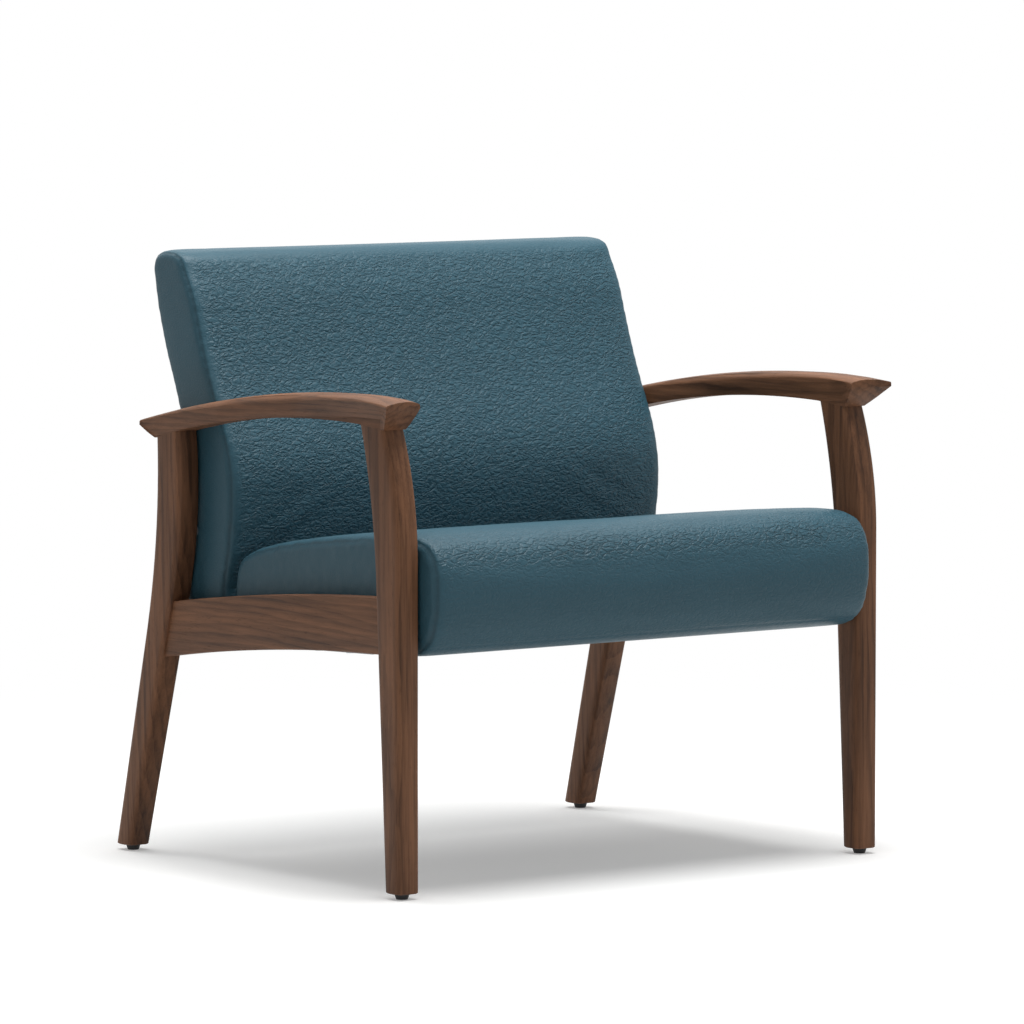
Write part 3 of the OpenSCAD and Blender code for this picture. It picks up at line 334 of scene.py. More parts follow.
class Finish:
    """A material under construction, around one principled shader."""

    def __init__(self, name, **constants):
        self.material = bpy.data.materials.new(name)
        self.material.use_nodes = True
        self.tree = self.material.node_tree
        self.tree.nodes.clear()
        self.output = self.tree.nodes.new("ShaderNodeOutputMaterial")
        self.shader = self.tree.nodes.new("ShaderNodeBsdfPrincipled")
        self.tree.links.new(self.shader.outputs[0], self.output.inputs[0])
        for key, value in constants.items():
            self.shader.inputs[key.replace("_", " ")].default_value = value
        self.place = self.add("TexCoord", {}, {}, "Object")

    def add(self, kind, settings, inputs, output=0):
        """Adds a node of any kind: its settings, then the values or links of its sockets."""
        node = self.tree.nodes.new("ShaderNode" + kind)
        for key, value in settings.items():
            setattr(node, key, value)
        for key, value in inputs.items():
            self.feed(node.inputs[key], value)
        return Value(self, node.outputs[output])

    def feed(self, socket, value):
        """Gives a socket a constant or a link."""
        if isinstance(value, Value):
            self.tree.links.new(value.socket, socket)
        elif hasattr(value, "__len__") and socket.type == "RGBA":
            socket.default_value = (*value[:3], 1)
        else:
            socket.default_value = value

    def math(self, operation, *terms):
        return self.add("Math", {"operation": operation}, dict(enumerate(terms)))

    def vector(self, operation, *terms):
        return self.add("VectorMath", {"operation": operation}, dict(enumerate(terms)))

    def mix(self, share, low, high):
        """Mixes two colours: low where share is 0 and high where it is 1."""
        return self.add("Mix", {"data_type": "RGBA"}, {0: share, 6: low, 7: high}, 2)

    def noise(self, place, scale, detail=3.0, roughness=0.5, distortion=0.0, output=0):
        return self.add(
            "TexNoise", {},
            {"Vector": place, "Scale": scale, "Detail": detail, "Roughness": roughness,
             "Distortion": distortion}, output)

    def warp(self, place, scale, reach):
        """Moves a pattern's coordinates about by up to reach, in metres."""
        shift = self.vector("SUBTRACT", self.noise(place, scale, 2.0, output=1), (0.5, 0.5, 0.5))
        return self.vector("ADD", place, self.vector("MULTIPLY", shift, (reach, reach, reach)))

    def bump(self, height, depth):
        """Feeds the shader's normal from a height of 0 to 1 that stands for depth in metres."""
        self.feed(self.shader.inputs["Normal"], self.add(
            "Bump", {}, {"Strength": 1.0, "Distance": depth, "Height": height}))

    def colour(self, value):
        self.feed(self.shader.inputs["Base Color"], value)

    def roughness(self, value):
        self.feed(self.shader.inputs["Roughness"], value)


def scaled(colour, share):
    """A colour made lighter or darker."""
    return tuple(min(1.0, channel * share) for channel in colour)


def vinyl_finish(cover):
    """Coated vinyl: pebbled where the mesh's 'grain' says, crinkled by 'fold', with painted shade
    in its pebble grooves, its crinkle lines and the seam grooves that 'seam' marks.
    """
    f = Finish("cover_vinyl", IOR=1.34)
    grain = f.add("Attribute", {"attribute_name": "grain"}, {}, "Fac")
    wide = f.vector("MULTIPLY", f.place, (0.58, 1.0, 1.0))
    loose = f.warp(wide, 55, 0.010)
    crumpled = f.warp(loose, 210, 0.0035)
    edge = f.add(
        "TexVoronoi", {"feature": "DISTANCE_TO_EDGE"},
        {"Vector": crumpled, "Scale": 150, "Randomness": 1.0})
    swirl = abs(f.noise(loose, 128, 2, 0.45, 0.6) * 2 - 1)
    pebble = edge.step(0.0, 0.26) * 0.45 + swirl.step(0.0, 0.20) * 0.55
    fold = f.add("Attribute", {"attribute_name": "fold"}, {}, "Fac")
    net = f.add(
        "TexVoronoi", {"feature": "DISTANCE_TO_EDGE"},
        {"Vector": f.warp(f.warp(wide, 40, 0.016), 160, 0.005), "Scale": 118, "Randomness": 1.0})
    plump = net.step(0.0, 0.17) * fold
    seam = f.add("Attribute", {"attribute_name": "seam"}, {}, "Fac")
    fine = f.noise(f.place, 1500, 2, 0.6)
    skin = f.noise(wide, 420, 3, 0.6)
    broad = f.noise(f.place, 9, 3, 0.5)
    relief = grain * pebble * 0.75 + (skin - 0.5) * (0.22 + grain * 0.20) + fine * 0.05
    f.bump(relief + plump * 0.75, 0.0020)
    base = cover.colour
    low = f.mix(broad, scaled(base, 0.92), scaled(base, 1.08))
    # Painted shade: darker in the pebble grooves, in the crinkle lines over the nose and in the
    # seam grooves
    hollow_shade = grain * (1 - pebble) * 0.42 + (fold - plump) * 0.40 + seam * 0.8
    shaded_vinyl = f.mix(hollow_shade, low, scaled(base, 0.55))
    # Painted highlight: the raised patches of the skin are made lighter
    f.colour(f.mix(skin.step(0.52, 0.8) * 0.35, shaded_vinyl, scaled(base, 1.25)))
    f.roughness(0.38 + (1 - pebble) * grain * 0.14 + fine * 0.10)
    return f.material


def walnut_finish(name, wood, along, seed):
    """Oiled walnut whose grain runs along one axis of the piece."""
    f = Finish(name, IOR=1.32)
    turn = {"X": (0, 0, 0), "Y": (0, 0, math.radians(90)), "Z": (0, math.radians(90), 0)}[along]
    start = (seed * 0.37, seed * 0.11, seed * 0.05)
    lying = f.add("Mapping", {}, {"Vector": f.place, "Location": start, "Rotation": turn})
    slow = f.vector("MULTIPLY", lying, (0.16, 1.0, 1.0))
    bent = f.warp(f.warp(slow, 9, 0.055), 42, 0.006)
    across = f.add("SeparateXYZ", {}, {"Vector": bent}, 1)
    deep = f.add("SeparateXYZ", {}, {"Vector": bent}, 2)
    heart_y, heart_z = 0.09 + seed * 0.004, -0.05
    reach = f.math("SQRT", (across - heart_y) ** 2.0 + (deep - heart_z) ** 2.0)
    wobble = f.noise(slow, 60, 3, 0.55)
    rings = f.math("FRACT", reach / wood.ring + wobble * 0.55)
    late = rings.step(0.35, 0.95) * (1 - rings.step(0.955, 1.0))
    fibre = f.noise(f.vector("MULTIPLY", lying, (0.025, 1.0, 1.0)), 900, 3, 0.65)
    streak = f.noise(f.vector("MULTIPLY", lying, (0.05, 1.0, 1.0)), 150, 3, 0.6)
    cloud = f.noise(slow, 22, 3, 0.5)
    pore_field = f.noise(f.vector("MULTIPLY", lying, (0.045, 1.0, 1.0)), 1500, 1, 0.5)
    pore = pore_field.step(0.66, 0.74)
    share = late * 0.30 + streak.step(0.35, 0.7) * 0.40 + (fibre - 0.5) * 0.50
    share = share + (cloud - 0.5) * 1.5
    tone = f.add("Math", {"operation": "ADD", "use_clamp": True}, {0: share, 1: 0.16})
    body = f.mix(tone, wood.light, wood.dark)
    f.colour(f.mix(pore * 0.55, body, scaled(wood.dark, 0.45)))
    f.roughness(0.44 + fibre * 0.14 + pore * 0.2)
    f.bump(fibre * 0.35 - pore * 0.8 + streak * 0.15, 0.00018)
    return f.material


def raw_wood_finish(name, light, dark, along):
    """Plain machined frame timber or veneer, unfinished."""
    f = Finish(name, IOR=1.45)
    stretch = {"X": (0.05, 1, 1), "Y": (1, 0.05, 1), "Z": (1, 1, 0.05)}[along]
    lying = f.vector("MULTIPLY", f.place, stretch)
    fibre = f.noise(lying, 600, 3, 0.6)
    cloud = f.noise(lying, 30, 3, 0.5)
    f.colour(f.mix(fibre * 0.5 + cloud * 0.5, light, dark))
    f.roughness(0.62 + fibre * 0.15)
    f.bump(fibre, 0.0002)
    return f.material


def metal_finish(name, colour, base_roughness, spangle):
    """Plated or rolled steel with fine scratches and a faint spangle."""
    f = Finish(name, Metallic=1.0)
    scratch = f.noise(f.vector("MULTIPLY", f.place, (1, 0.04, 1)), 900, 3, 0.6)
    patch = f.noise(f.place, spangle, 2, 0.5)
    f.colour(f.mix(patch, scaled(colour, 0.82), scaled(colour, 1.12)))
    f.roughness(base_roughness + scratch * 0.16 + patch * 0.08)
    f.bump(scratch, 0.00005)
    return f.material


def moulded_finish(name, colour):
    """Black moulded plastic with a fine spark texture."""
    f = Finish(name, IOR=1.49)
    spark = f.noise(f.place, 2600, 2, 0.6)
    scuff = f.noise(f.place, 140, 3, 0.6)
    f.colour(f.mix(scuff.step(0.45, 0.8), colour, scaled(colour, 2.6)))
    f.roughness(0.46 + spark * 0.14)
    f.bump(spark, 0.00008)
    return f.material


def woven_finish(name, colour, pitch, depth):
    """Plain woven or spun cloth, such as webbing or a dust cover."""
    f = Finish(name, IOR=1.45)
    thread = 2 * math.pi / pitch
    x, y, z = (f.add("SeparateXYZ", {}, {"Vector": f.place}, axis) for axis in range(3))
    over = f.math("SINE", x * thread) * f.math("SINE", (z + y) * thread)
    fuzz = f.noise(f.place, 1800, 2, 0.6)
    height = over * 0.5 + 0.5
    # Painted shade: darker where the threads dip under the weave; the fuzz adds the cloth's own
    # tone
    f.colour(f.mix(height * 0.6 + fuzz * 0.4, scaled(colour, 0.55), scaled(colour, 1.5)))
    f.roughness(0.82 + fuzz * 0.1)
    f.bump(height * 0.7 + fuzz * 0.3, depth)
    return f.material


def new_object(name, mesh):
    obj = bpy.data.objects.new(name, mesh)
    bpy.context.scene.collection.objects.link(obj)
    return obj


def applied(obj):
    """Applies an object's modifiers to its own mesh."""
    graph = bpy.context.evaluated_depsgraph_get()
    made = bpy.data.meshes.new_from_object(obj.evaluated_get(graph))
    old = obj.data
    obj.modifiers.clear()
    obj.data = made
    bpy.data.meshes.remove(old)


def removed(obj):
    mesh = obj.data
    bpy.data.objects.remove(obj)
    bpy.data.meshes.remove(mesh)


def drawn_out(name, points, half_width, round_edge=0.0, curved=True):
    """A closed solid between two like side outlines in the Y-Z plane, with rounded side edges."""
    curve = bpy.data.curves.new(name, "CURVE")
    curve.dimensions = "2D"
    curve.fill_mode = "BOTH"
    curve.resolution_u = 5
    curve.extrude = half_width - round_edge
    curve.bevel_depth = round_edge
    curve.bevel_resolution = 2
    curve.offset = -round_edge
    spline = curve.splines.new("BEZIER")
    spline.bezier_points.add(len(points) - 1)
    for knot, (y, z) in zip(spline.bezier_points, points):
        knot.co = (y, z, 0)
        knot.handle_left_type = knot.handle_right_type = "AUTO" if curved else "VECTOR"
    spline.use_cyclic_u = True
    drawn = new_object(name, curve)
    graph = bpy.context.evaluated_depsgraph_get()
    mesh = bpy.data.meshes.new_from_object(drawn.evaluated_get(graph))
    bpy.data.objects.remove(drawn)
    bpy.data.curves.remove(curve)
    mesh.transform(Matrix(((0, 0, 1, 0), (1, 0, 0, 0), (0, 1, 0, 0), (0, 0, 0, 1))))
    bm = bmesh.new()
    bm.from_mesh(mesh)
    bmesh.ops.remove_doubles(bm, verts=bm.verts, dist=1e-6)
    bmesh.ops.recalc_face_normals(bm, faces=bm.faces)
    bm.to_mesh(mesh)
    bm.free()
    return new_object(name, mesh)


def cut_away(obj, cutter):
    """Takes the cutter's space out of an object."""
    cut = obj.modifiers.new("Pocket", "BOOLEAN")
    cut.operation = "DIFFERENCE"
    cut.solver = "EXACT"
    cut.object = cutter
    applied(obj)
    removed(cutter)


def seat_point(y, z):
    """A point of the seat's own side plane, placed in the chair."""
    c, s = math.cos(SEAT_TILT), math.sin(SEAT_TILT)
    return SEAT_ORIGIN.y + y * c + z * s, SEAT_ORIGIN.z - y * s + z * c


def seat_local(point):
    """The reverse of seat_point."""
    c, s = math.cos(SEAT_TILT), math.sin(SEAT_TILT)
    y, z = point.y - SEAT_ORIGIN.y, point.z - SEAT_ORIGIN.z
    return y * c - z * s, y * s + z * c


def back_rear(z):
    """Depth of the back's rear line at a height."""
    for (za, ya), (zb, yb) in zip(BACK_REAR, BACK_REAR[1:]):
        if z <= zb:
            return ya + (yb - ya) * (z - za) / (zb - za)
    return BACK_REAR[-1][1]


def back_strip(z0, z1, near, far):
    """Side outline of a board along the back's rear line, between two depths in front of it."""
    heights = [z0] + [z for z, _ in BACK_REAR if z0 < z < z1] + [z1]
    front = [(back_rear(z) - near, z) for z in heights]
    return front + [(back_rear(z) - far, z) for z in reversed(heights)]


def swell(obj, cover, held):
    """Blows a cover up with air, less so where held() says, and limits how far a point moves."""
    mesh = obj.data
    group = obj.vertex_groups.new(name="held")
    for vertex in mesh.vertices:
        group.add([vertex.index], held(vertex), "REPLACE")
    rest = [vertex.co.copy() for vertex in mesh.vertices]
    cloth = obj.modifiers.new("Cloth", "CLOTH")
    for key, value in CLOTH.items():
        setattr(cloth.settings, key, value)
    cloth.settings.uniform_pressure_force = cover.pressure
    cloth.settings.effector_weights.gravity = 0
    cloth.collision_settings.use_collision = False
    cloth.point_cache.frame_start = 1
    cloth.point_cache.frame_end = cover.steps
    scene = bpy.context.scene
    for step in range(1, cover.steps + 1):
        scene.frame_set(step)
    applied(obj)
    scene.frame_set(1)
    obj.vertex_groups.clear()
    for vertex, start in zip(obj.data.vertices, rest):
        move = vertex.co - start
        if move.length > 1e-9:
            share = math.tanh(move.length / cover.travel)
            vertex.co = start + move.normalized() * cover.travel * share


def rewoven(obj, size):
    """Gives a solid an even mesh that still lies on its surface."""
    body = new_object("body", obj.data.copy())
    remesh = obj.modifiers.new("Remesh", "REMESH")
    remesh.mode = "VOXEL"
    remesh.voxel_size = size
    smooth = obj.modifiers.new("Smooth", "SMOOTH")
    smooth.factor = 0.5
    smooth.iterations = 4
    wrap = obj.modifiers.new("Wrap", "SHRINKWRAP")
    wrap.target = body
    applied(obj)
    removed(body)


def moved(obj, shift):
    """Moves each point of an object by what shift() says for its place and normal."""
    points = obj.data.vertices
    shifts = [shift(point.co, point.normal) for point in points]
    for point, move in zip(points, shifts):
        point.co += move


def refined(obj):
    smooth = obj.modifiers.new("Smooth", "SMOOTH")
    smooth.factor = 0.5
    smooth.iterations = 6
    subdivide = obj.modifiers.new("Subdivision", "SUBSURF")
    subdivide.levels = subdivide.render_levels = 1
    applied(obj)


def bell(distance, width):
    """1 at a distance of 0, and near 0 past twice the width."""
    return math.exp(-(distance / width) ** 2)


def ramp(value, low, high):
    t = min(1.0, max(0.0, (value - low) / (high - low)))
    return t * t * (3 - 2 * t)


def ripple(place, waves, height):
    """Smooth unevenness of a height, with so many waves in a metre along each axis."""
    return noise.noise(Vector([a * b for a, b in zip(place, waves)])) * height


def crowned(x, half_width, fullness):
    """How much of its crown a cushion has at a place across it."""
    return math.sqrt(max(0.0, 1 - abs(x / half_width) ** fullness))


def sewn(obj, cover, half_width, shape):
    """Cuts the side seams into a cover, and moves and paints every point as shape() says."""
    mesh = obj.data
    bm = bmesh.new()
    bm.from_mesh(mesh)
    seam_x = half_width - cover.seam_inset
    facing = bm.verts.layers.float_vector.new("facing")
    for vertex in bm.verts:
        vertex[facing] = vertex.normal
    for side in (-1, 1):
        for shift in SEAM_LOOPS:
            bmesh.ops.bisect_plane(
                bm, geom=bm.verts[:] + bm.edges[:] + bm.faces[:], dist=1e-6,
                plane_co=(side * (seam_x + shift * cover.seam_width), 0, 0), plane_no=(1, 0, 0))
    layers = [bm.verts.layers.float.new(name) for name in ("grain", "fold", "seam")]
    facing = bm.verts.layers.float_vector["facing"]
    for vertex in bm.verts:
        normal = vertex[facing].normalized()
        move, spread, *paint = shape(vertex.co, normal)
        out = abs(vertex.co.x) - seam_x
        spread *= math.copysign(ramp(out, SIDE_BLEND, cover.seam_inset), vertex.co.x)
        # 'seam' marks the seam's groove, which the vinyl darkens with painted shade
        seam = bell(out, cover.seam_width)
        for layer, share in zip(layers, (*paint, seam)):
            vertex[layer] = share
        vertex.co += normal * (move - seam * cover.seam_depth) + Vector((spread, 0, 0))
    bm.verts.layers.float_vector.remove(facing)
    for face in bm.faces:
        face.smooth = True
    bm.to_mesh(mesh)
    bm.free()


def seam_path(obj, x):
    """The outer edge of an object's section at x, as ordered points."""
    bm = bmesh.new()
    bm.from_mesh(obj.data)
    bmesh.ops.bisect_plane(
        bm, geom=bm.verts[:] + bm.edges[:] + bm.faces[:], dist=1e-7,
        plane_co=(x, 0, 0), plane_no=(1, 0, 0), clear_inner=True, clear_outer=True)
    best = []
    left = dict.fromkeys(bm.verts)    # In the mesh's own order, so that each run starts alike
    while left:
        start = left.popitem()[0]
        chain, here, before = [start.co.copy()], start, None
        while True:
            ahead = [e.other_vert(here) for e in here.link_edges]
            ahead = [v for v in ahead if v is not before and v in left]
            if not ahead:
                break
            before, here = here, ahead[0]
            del left[here]
            chain.append(here.co.copy())
        if len(chain) > len(best):
            best = chain
    bm.free()
    return best


def row_of_stitches(bm, path, cover, keep):
    """Lays stitches along a closed path on a cover, where keep() wants them."""
    lengths = [0.0]
    closed = path + [path[0]]
    for a, b in zip(closed, closed[1:]):
        lengths.append(lengths[-1] + (b - a).length)
    area = sum(a.y * b.z - b.y * a.z for a, b in zip(closed, closed[1:]))
    count = int(lengths[-1] / cover.stitch_pitch)
    index = 0
    for k in range(count):
        place = (k + 0.5) * lengths[-1] / count
        while lengths[index + 1] < place:
            index += 1
        a, b = closed[index], closed[index + 1]
        spot = a.lerp(b, (place - lengths[index]) / max(1e-9, lengths[index + 1] - lengths[index]))
        back = closed[max(0, index - 2)]
        front = closed[min(len(closed) - 1, index + 3)]
        along = (front - back).normalized()
        if area < 0:
            along = -along
        out = Vector((0, along.z, -along.y)).normalized()
        if not keep(spot, out):
            continue
        turn = Matrix((Vector((1, 0, 0)), along, out)).transposed().to_4x4()
        turn.translation = spot
        made = bmesh.ops.create_icosphere(bm, subdivisions=1, radius=0.5)
        size = (cover.thread_width, cover.stitch_length, cover.thread_width * THREAD_FLAT)
        bmesh.ops.scale(bm, verts=made["verts"], vec=size)
        for vertex in made["verts"]:
            y = vertex.co.y / (cover.stitch_length / 2)
            vertex.co.z -= cover.thread_width * THREAD_DIP * y * y
        bmesh.ops.transform(bm, matrix=turn, verts=made["verts"])


def painted(obj, material):
    obj.data.materials.clear()
    obj.data.materials.append(material)


def dressed(obj, material, slot_name, *nodes, body=ROOT):
    """Gives a piece its material and its body, and hides the CAD nodes that it stands for.
    slot_name is not used.
    """
    painted(obj, material)
    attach(obj, body)
    if nodes:
        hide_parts(*nodes)


def merged_copy(name, node, sharp_angle, crease_angle):
    """A welded copy of a CAD node's mesh, smooth except at its crisp edges and inward creases."""
    mesh = frame["nodes"][node].data.copy()
    mesh.name = name
    bm = bmesh.new()
    bm.from_mesh(mesh)
    bmesh.ops.remove_doubles(bm, verts=bm.verts, dist=WELD)
    bmesh.ops.dissolve_degenerate(bm, edges=bm.edges, dist=SLIVER)
    bmesh.ops.join_triangles(
        bm, faces=bm.faces, angle_face_threshold=FLAT_ANGLE, angle_shape_threshold=SQUARE_ANGLE)
    for face in bm.faces:
        face.smooth = True
    for edge in bm.edges:
        turn = edge.calc_face_angle_signed(0.0)
        edge.smooth = -crease_angle < turn < sharp_angle
    bm.to_mesh(mesh)
    bm.free()
    return new_object(name, mesh)


def finish_for(name):
    """A shared material by name, made by the finishes operator."""
    material = bpy.data.materials.get(name)
    if material is None:
        raise RuntimeError(f"the finish {name} isn't made yet")
    return material


class CHAIR_OT_finishes(bpy.types.Operator):
    """Make the shared finishes and give them to the CAD nodes that stay"""
    bl_idname = "chair.finishes"
    bl_label = "Finishes"

    def execute(self, context):
        scene = context.scene
        vinyl_finish(scene.chair_cover)
        made = {
            "beech": raw_wood_finish("beech_across", *BEECH, "X"),
            "beech_upright": raw_wood_finish("beech_upright", *BEECH, "Z"),
            "beech_deep": raw_wood_finish("beech_deep", *BEECH, "Y"),
            "plywood": raw_wood_finish("birch_plywood", *PLYWOOD, "X"),
            "steel": metal_finish("rolled_steel", ROLLED_STEEL, 0.38, 40),
            "zinc": metal_finish("zinc_plate", ZINC, 0.26, 120),
            "glide_plastic": moulded_finish("black_moulding", BLACK_PLASTIC),
            "webbing": woven_finish("strap_webbing", WEBBING, 0.0032, 0.0006),
            "lining": woven_finish("dust_cloth", DUST_CLOTH, 0.0016, 0.0002),
            "vinyl": finish_for("cover_vinyl"),
        }
        slots = {row["node"]: row["material_slot"] for row in frame["record"]["subparts"]}
        for node, obj in frame["nodes"].items():
            name = slots[node]
            if node in UPRIGHT_BEECH:
                name = "beech_upright"
            elif node in DEEP_BEECH:
                name = "beech_deep"
            if name in made:
                painted(obj, made[name])
        return {"FINISHED"}


class CHAIR_OT_back_cover(bpy.types.Operator):
    """Make the upholstered back: a crowned cover with sewn side seams, open behind for its frame"""
    bl_idname = "chair.back_cover"
    bl_label = "Back cover"

    def execute(self, context):
        cover = context.scene.chair_cover
        half = cover.back_half_width
        obj = drawn_out("back_cover", BACK_OUTLINE, half, cover.round_edge)
        for name, room in (("frame_room", FRAME_ROOM), ("panel_room", PANEL_ROOM)):
            strip = back_strip(room["low"], room["high"], -PAST, room["deep"])
            cut_away(obj, drawn_out(name, strip, room["half"], 0, False))
        rewoven(obj, cover.weave)

        def crown(co, n):
            share = max(0.0, -n.y) + 0.35 * max(0.0, n.z)
            start = cover.back_crown * CROWN_START - CROWN_HAIR
            return n * start * share * crowned(co.x, half, BACK_FULLNESS)

        moved(obj, crown)

        def held(vertex):
            """Firm along the side seams and behind, free on the front, top and sides."""
            co, n = vertex.co, vertex.normal
            edge = bell(half - abs(co.x), SEAM_SPREAD) if abs(n.x) < 0.9 else 0.0
            behind = ramp(n.y, 0.2, 0.6)
            inside = 1.0 if self.on_room_wall(co) else 0.0
            return max(LOOSE, edge, behind, inside)

        swell(obj, cover, held)
        refined(obj)

        def shape(co, n):
            from_seam = half - cover.seam_inset - abs(co.x)
            front = ramp(-n.y, 0.15, 0.5)
            pucker = ripple(co, *BACK_PUCKER) * bell(from_seam, PUCKER_REACH)
            dent = ripple(co, *BACK_DENT) * front
            wrinkle = ripple(co, *BACK_WRINKLE) * front
            side = ripple(co, *BACK_SIDE)
            side += REAR_CORNER * ramp(co.y, *CORNER_DEPTH) * (1 - ramp(co.z, *CORNER_HEIGHT))
            side *= ramp(-from_seam, *SIDE_STARTS)
            above = ramp(co.z, *ABOVE_ARMS)
            below = (1 - ramp(co.z, *BELOW_ARMS)) * (1 - ramp(co.y, *BEFORE_LEGS))
            spread = cover.side_fill * max(above, 0.8 * below)
            grain = front * ramp(from_seam, 0.004, 0.020)
            grain *= ramp(CAD_BOX[1].z - co.z, 0.006, 0.030)
            return dent + wrinkle + pucker + side, spread, max(0.05, grain), 0.0

        sewn(obj, cover, half, shape)
        dressed(obj, finish_for("cover_vinyl"), "vinyl", "back_cushion")
        return {"FINISHED"}

    def on_room_wall(self, co):
        """Whether a point is on a wall of the rooms for the frame and the outer panel."""
        walls = BACK_WALLS
        if abs(co.x) >= walls["half"] or not walls["low"] <= co.z <= walls["high"]:
            return False
        return co.y > back_rear(co.z) - walls["deep"]


class CHAIR_OT_seat_cover(bpy.types.Operator):
    """Make the upholstered seat: a full nose, a crowned top and sewn sides, open for its frame"""
    bl_idname = "chair.seat_cover"
    bl_label = "Seat cover"

    def execute(self, context):
        cover = context.scene.chair_cover
        half = cover.seat_half_width
        outline = [seat_point(y * SEAT_LENGTH, z * SEAT_HEIGHT) for y, z in SEAT_OUTLINE]
        obj = drawn_out("seat_cover", outline, half, cover.round_edge)
        front, rear, top, room_half = SEAT_ROOM.values()
        corners = ((front, -PAST), (rear, -PAST), (rear, top), (front, top))
        room = [seat_point(y, z) for y, z in corners]
        cut_away(obj, drawn_out("seat_room", room, room_half, 0, False))
        rewoven(obj, cover.weave)

        def crown(co, n):
            share = min(1.0, max(0.0, -n.y) + max(0.0, n.z))
            if seat_local(co)[1] < SEAT_STILL and n.y > -0.1:
                share = 0.0
            start = cover.seat_crown * CROWN_START - CROWN_HAIR
            return n * start * share * crowned(co.x, half, SEAT_FULLNESS)

        moved(obj, crown)

        def held(vertex):
            """Firm along the side seams and below, free on the top, nose, rear and sides."""
            co, n = vertex.co, vertex.normal
            y, z = seat_local(co)
            edge = bell(half - abs(co.x), SEAM_SPREAD) if abs(n.x) < 0.9 else 0.0
            below = ramp(-n.z, 0.3, 0.8)
            walls = SEAT_WALLS
            low = walls["front"] < y < walls["rear"] and z < walls["top"]
            inside = 1.0 if low and abs(co.x) < walls["half"] else 0.0
            return max(LOOSE, edge, below, inside)

        swell(obj, cover, held)
        refined(obj)

        def shape(co, n):
            y, z = seat_local(co)
            from_seam = half - cover.seam_inset - abs(co.x)
            top = ramp(n.z, 0.3, 0.8)
            nose = ramp(-n.y, 0.3, 0.7)
            outer = max(top if z > 0.08 else 0.0, nose if y < 0.09 else 0.0)
            pucker = ripple(co, *SEAT_PUCKER) * bell(from_seam, PUCKER_REACH)
            dent = ripple(co, *SEAT_DENT) * outer
            patch = 0.80 + 0.8 * noise.noise(Vector((co.x * 9, 3.1, co.z * 9)))
            band = bell(z - BAND_HEIGHT, BAND_WIDTH) * ramp(NOSE_DEPTH - y, 0.0, 0.04)
            band *= max(0.6, min(1.0, patch))
            hem = -bell(z - HEM_HEIGHT, HEM_WIDTH) * nose * HEM_DEPTH
            side = ripple(co, *SEAT_SIDE) * ramp(-from_seam, *SIDE_STARTS)
            spread = cover.side_fill * (0.8 + 0.7 * (1 - ramp(y, *NOSE_SIDES)))
            grain = 0.12 + 0.16 * outer + 0.30 * band
            inner = ramp(from_seam, -0.002, 0.012)
            # The band goes on as 'fold': its crinkle lines get painted shade in the vinyl
            return dent + hem + pucker + side, spread, grain * inner + 0.04, band * inner

        sewn(obj, cover, half, shape)
        dressed(obj, finish_for("cover_vinyl"), "vinyl", "seat_cushion")
        return {"FINISHED"}


class CHAIR_OT_stitching(bpy.types.Operator):
    """Sew the topstitching beside the back's side seams"""
    bl_idname = "chair.stitching"
    bl_label = "Topstitching"

    def execute(self, context):
        cover = context.scene.chair_cover
        f = Finish("thread", IOR=1.3)
        twist = f.noise(f.place, 2500, 2, 0.6)
        f.colour(f.mix(twist, scaled(cover.thread, 0.7), scaled(cover.thread, 1.4)))
        f.roughness(0.55 + twist * 0.2)
        f.bump(twist, 0.0001)
        back = bpy.data.objects["back_cover"]
        bm = bmesh.new()
        for side in (-1, 1):
            x = side * (cover.back_half_width - cover.seam_inset - cover.stitch_row)
            row_of_stitches(
                bm, seam_path(back, x), cover, lambda spot, out: out.y < 0.35 and out.z > -0.8)
        mesh = bpy.data.meshes.new("back_stitching")
        for face in bm.faces:
            face.smooth = True
        bm.to_mesh(mesh)
        bm.free()
        dressed(new_object("back_stitching", mesh), f.material, "vinyl")
        return {"FINISHED"}


class CHAIR_OT_wooden_frame(bpy.types.Operator):
    """Finish the legs, arms and side rails in walnut, with the grain along each piece"""
    bl_idname = "chair.wooden_frame"
    bl_label = "Wooden frame"

    def execute(self, context):
        wood = context.scene.chair_wood
        pieces = (
            ("left_arm", "Y", 1), ("right_arm", "Y", 2),
            ("left_front_leg", "Z", 3), ("right_front_leg", "Z", 4),
            ("left_rear_leg", "Z", 5), ("right_rear_leg", "Z", 6),
            ("left_side_rail", "Y", 7), ("right_side_rail", "Y", 8),
        )
        for node, along, seed in pieces:
            material = walnut_finish(f"walnut_{node}", wood, along, seed)
            obj = merged_copy(f"{node}_wood", node, wood.sharp_angle, wood.crease_angle)
            dressed(obj, material, "walnut", node)
            painted(frame["nodes"][node], material)
        return {"FINISHED"}


class CHAIR_OT_underside(bpy.types.Operator):
    """Model the cloth parts that show from below and behind: dust cover, webbing and outer back"""
    bl_idname = "chair.underside"
    bl_label = "Underside and outer back"

    def execute(self, context):
        sharp = math.radians(30)
        dust = merged_copy("dust_cover_cloth", "dust_cover", sharp, sharp)
        dressed(dust, finish_for("dust_cloth"), "lining", "dust_cover")
        webbing = merged_copy("back_webbing_straps", "back_webbing", sharp, sharp)
        dressed(webbing, finish_for("strap_webbing"), "webbing", "back_webbing")
        panel = merged_copy("back_outer_cover", "back_outer_panel", sharp, sharp)
        paint = panel.data.attributes.new("grain", "FLOAT", "POINT")
        paint.data.foreach_set("value", [PANEL_GRAIN] * len(panel.data.vertices))
        dressed(panel, finish_for("cover_vinyl"), "vinyl", "back_outer_panel")
        return {"FINISHED"}


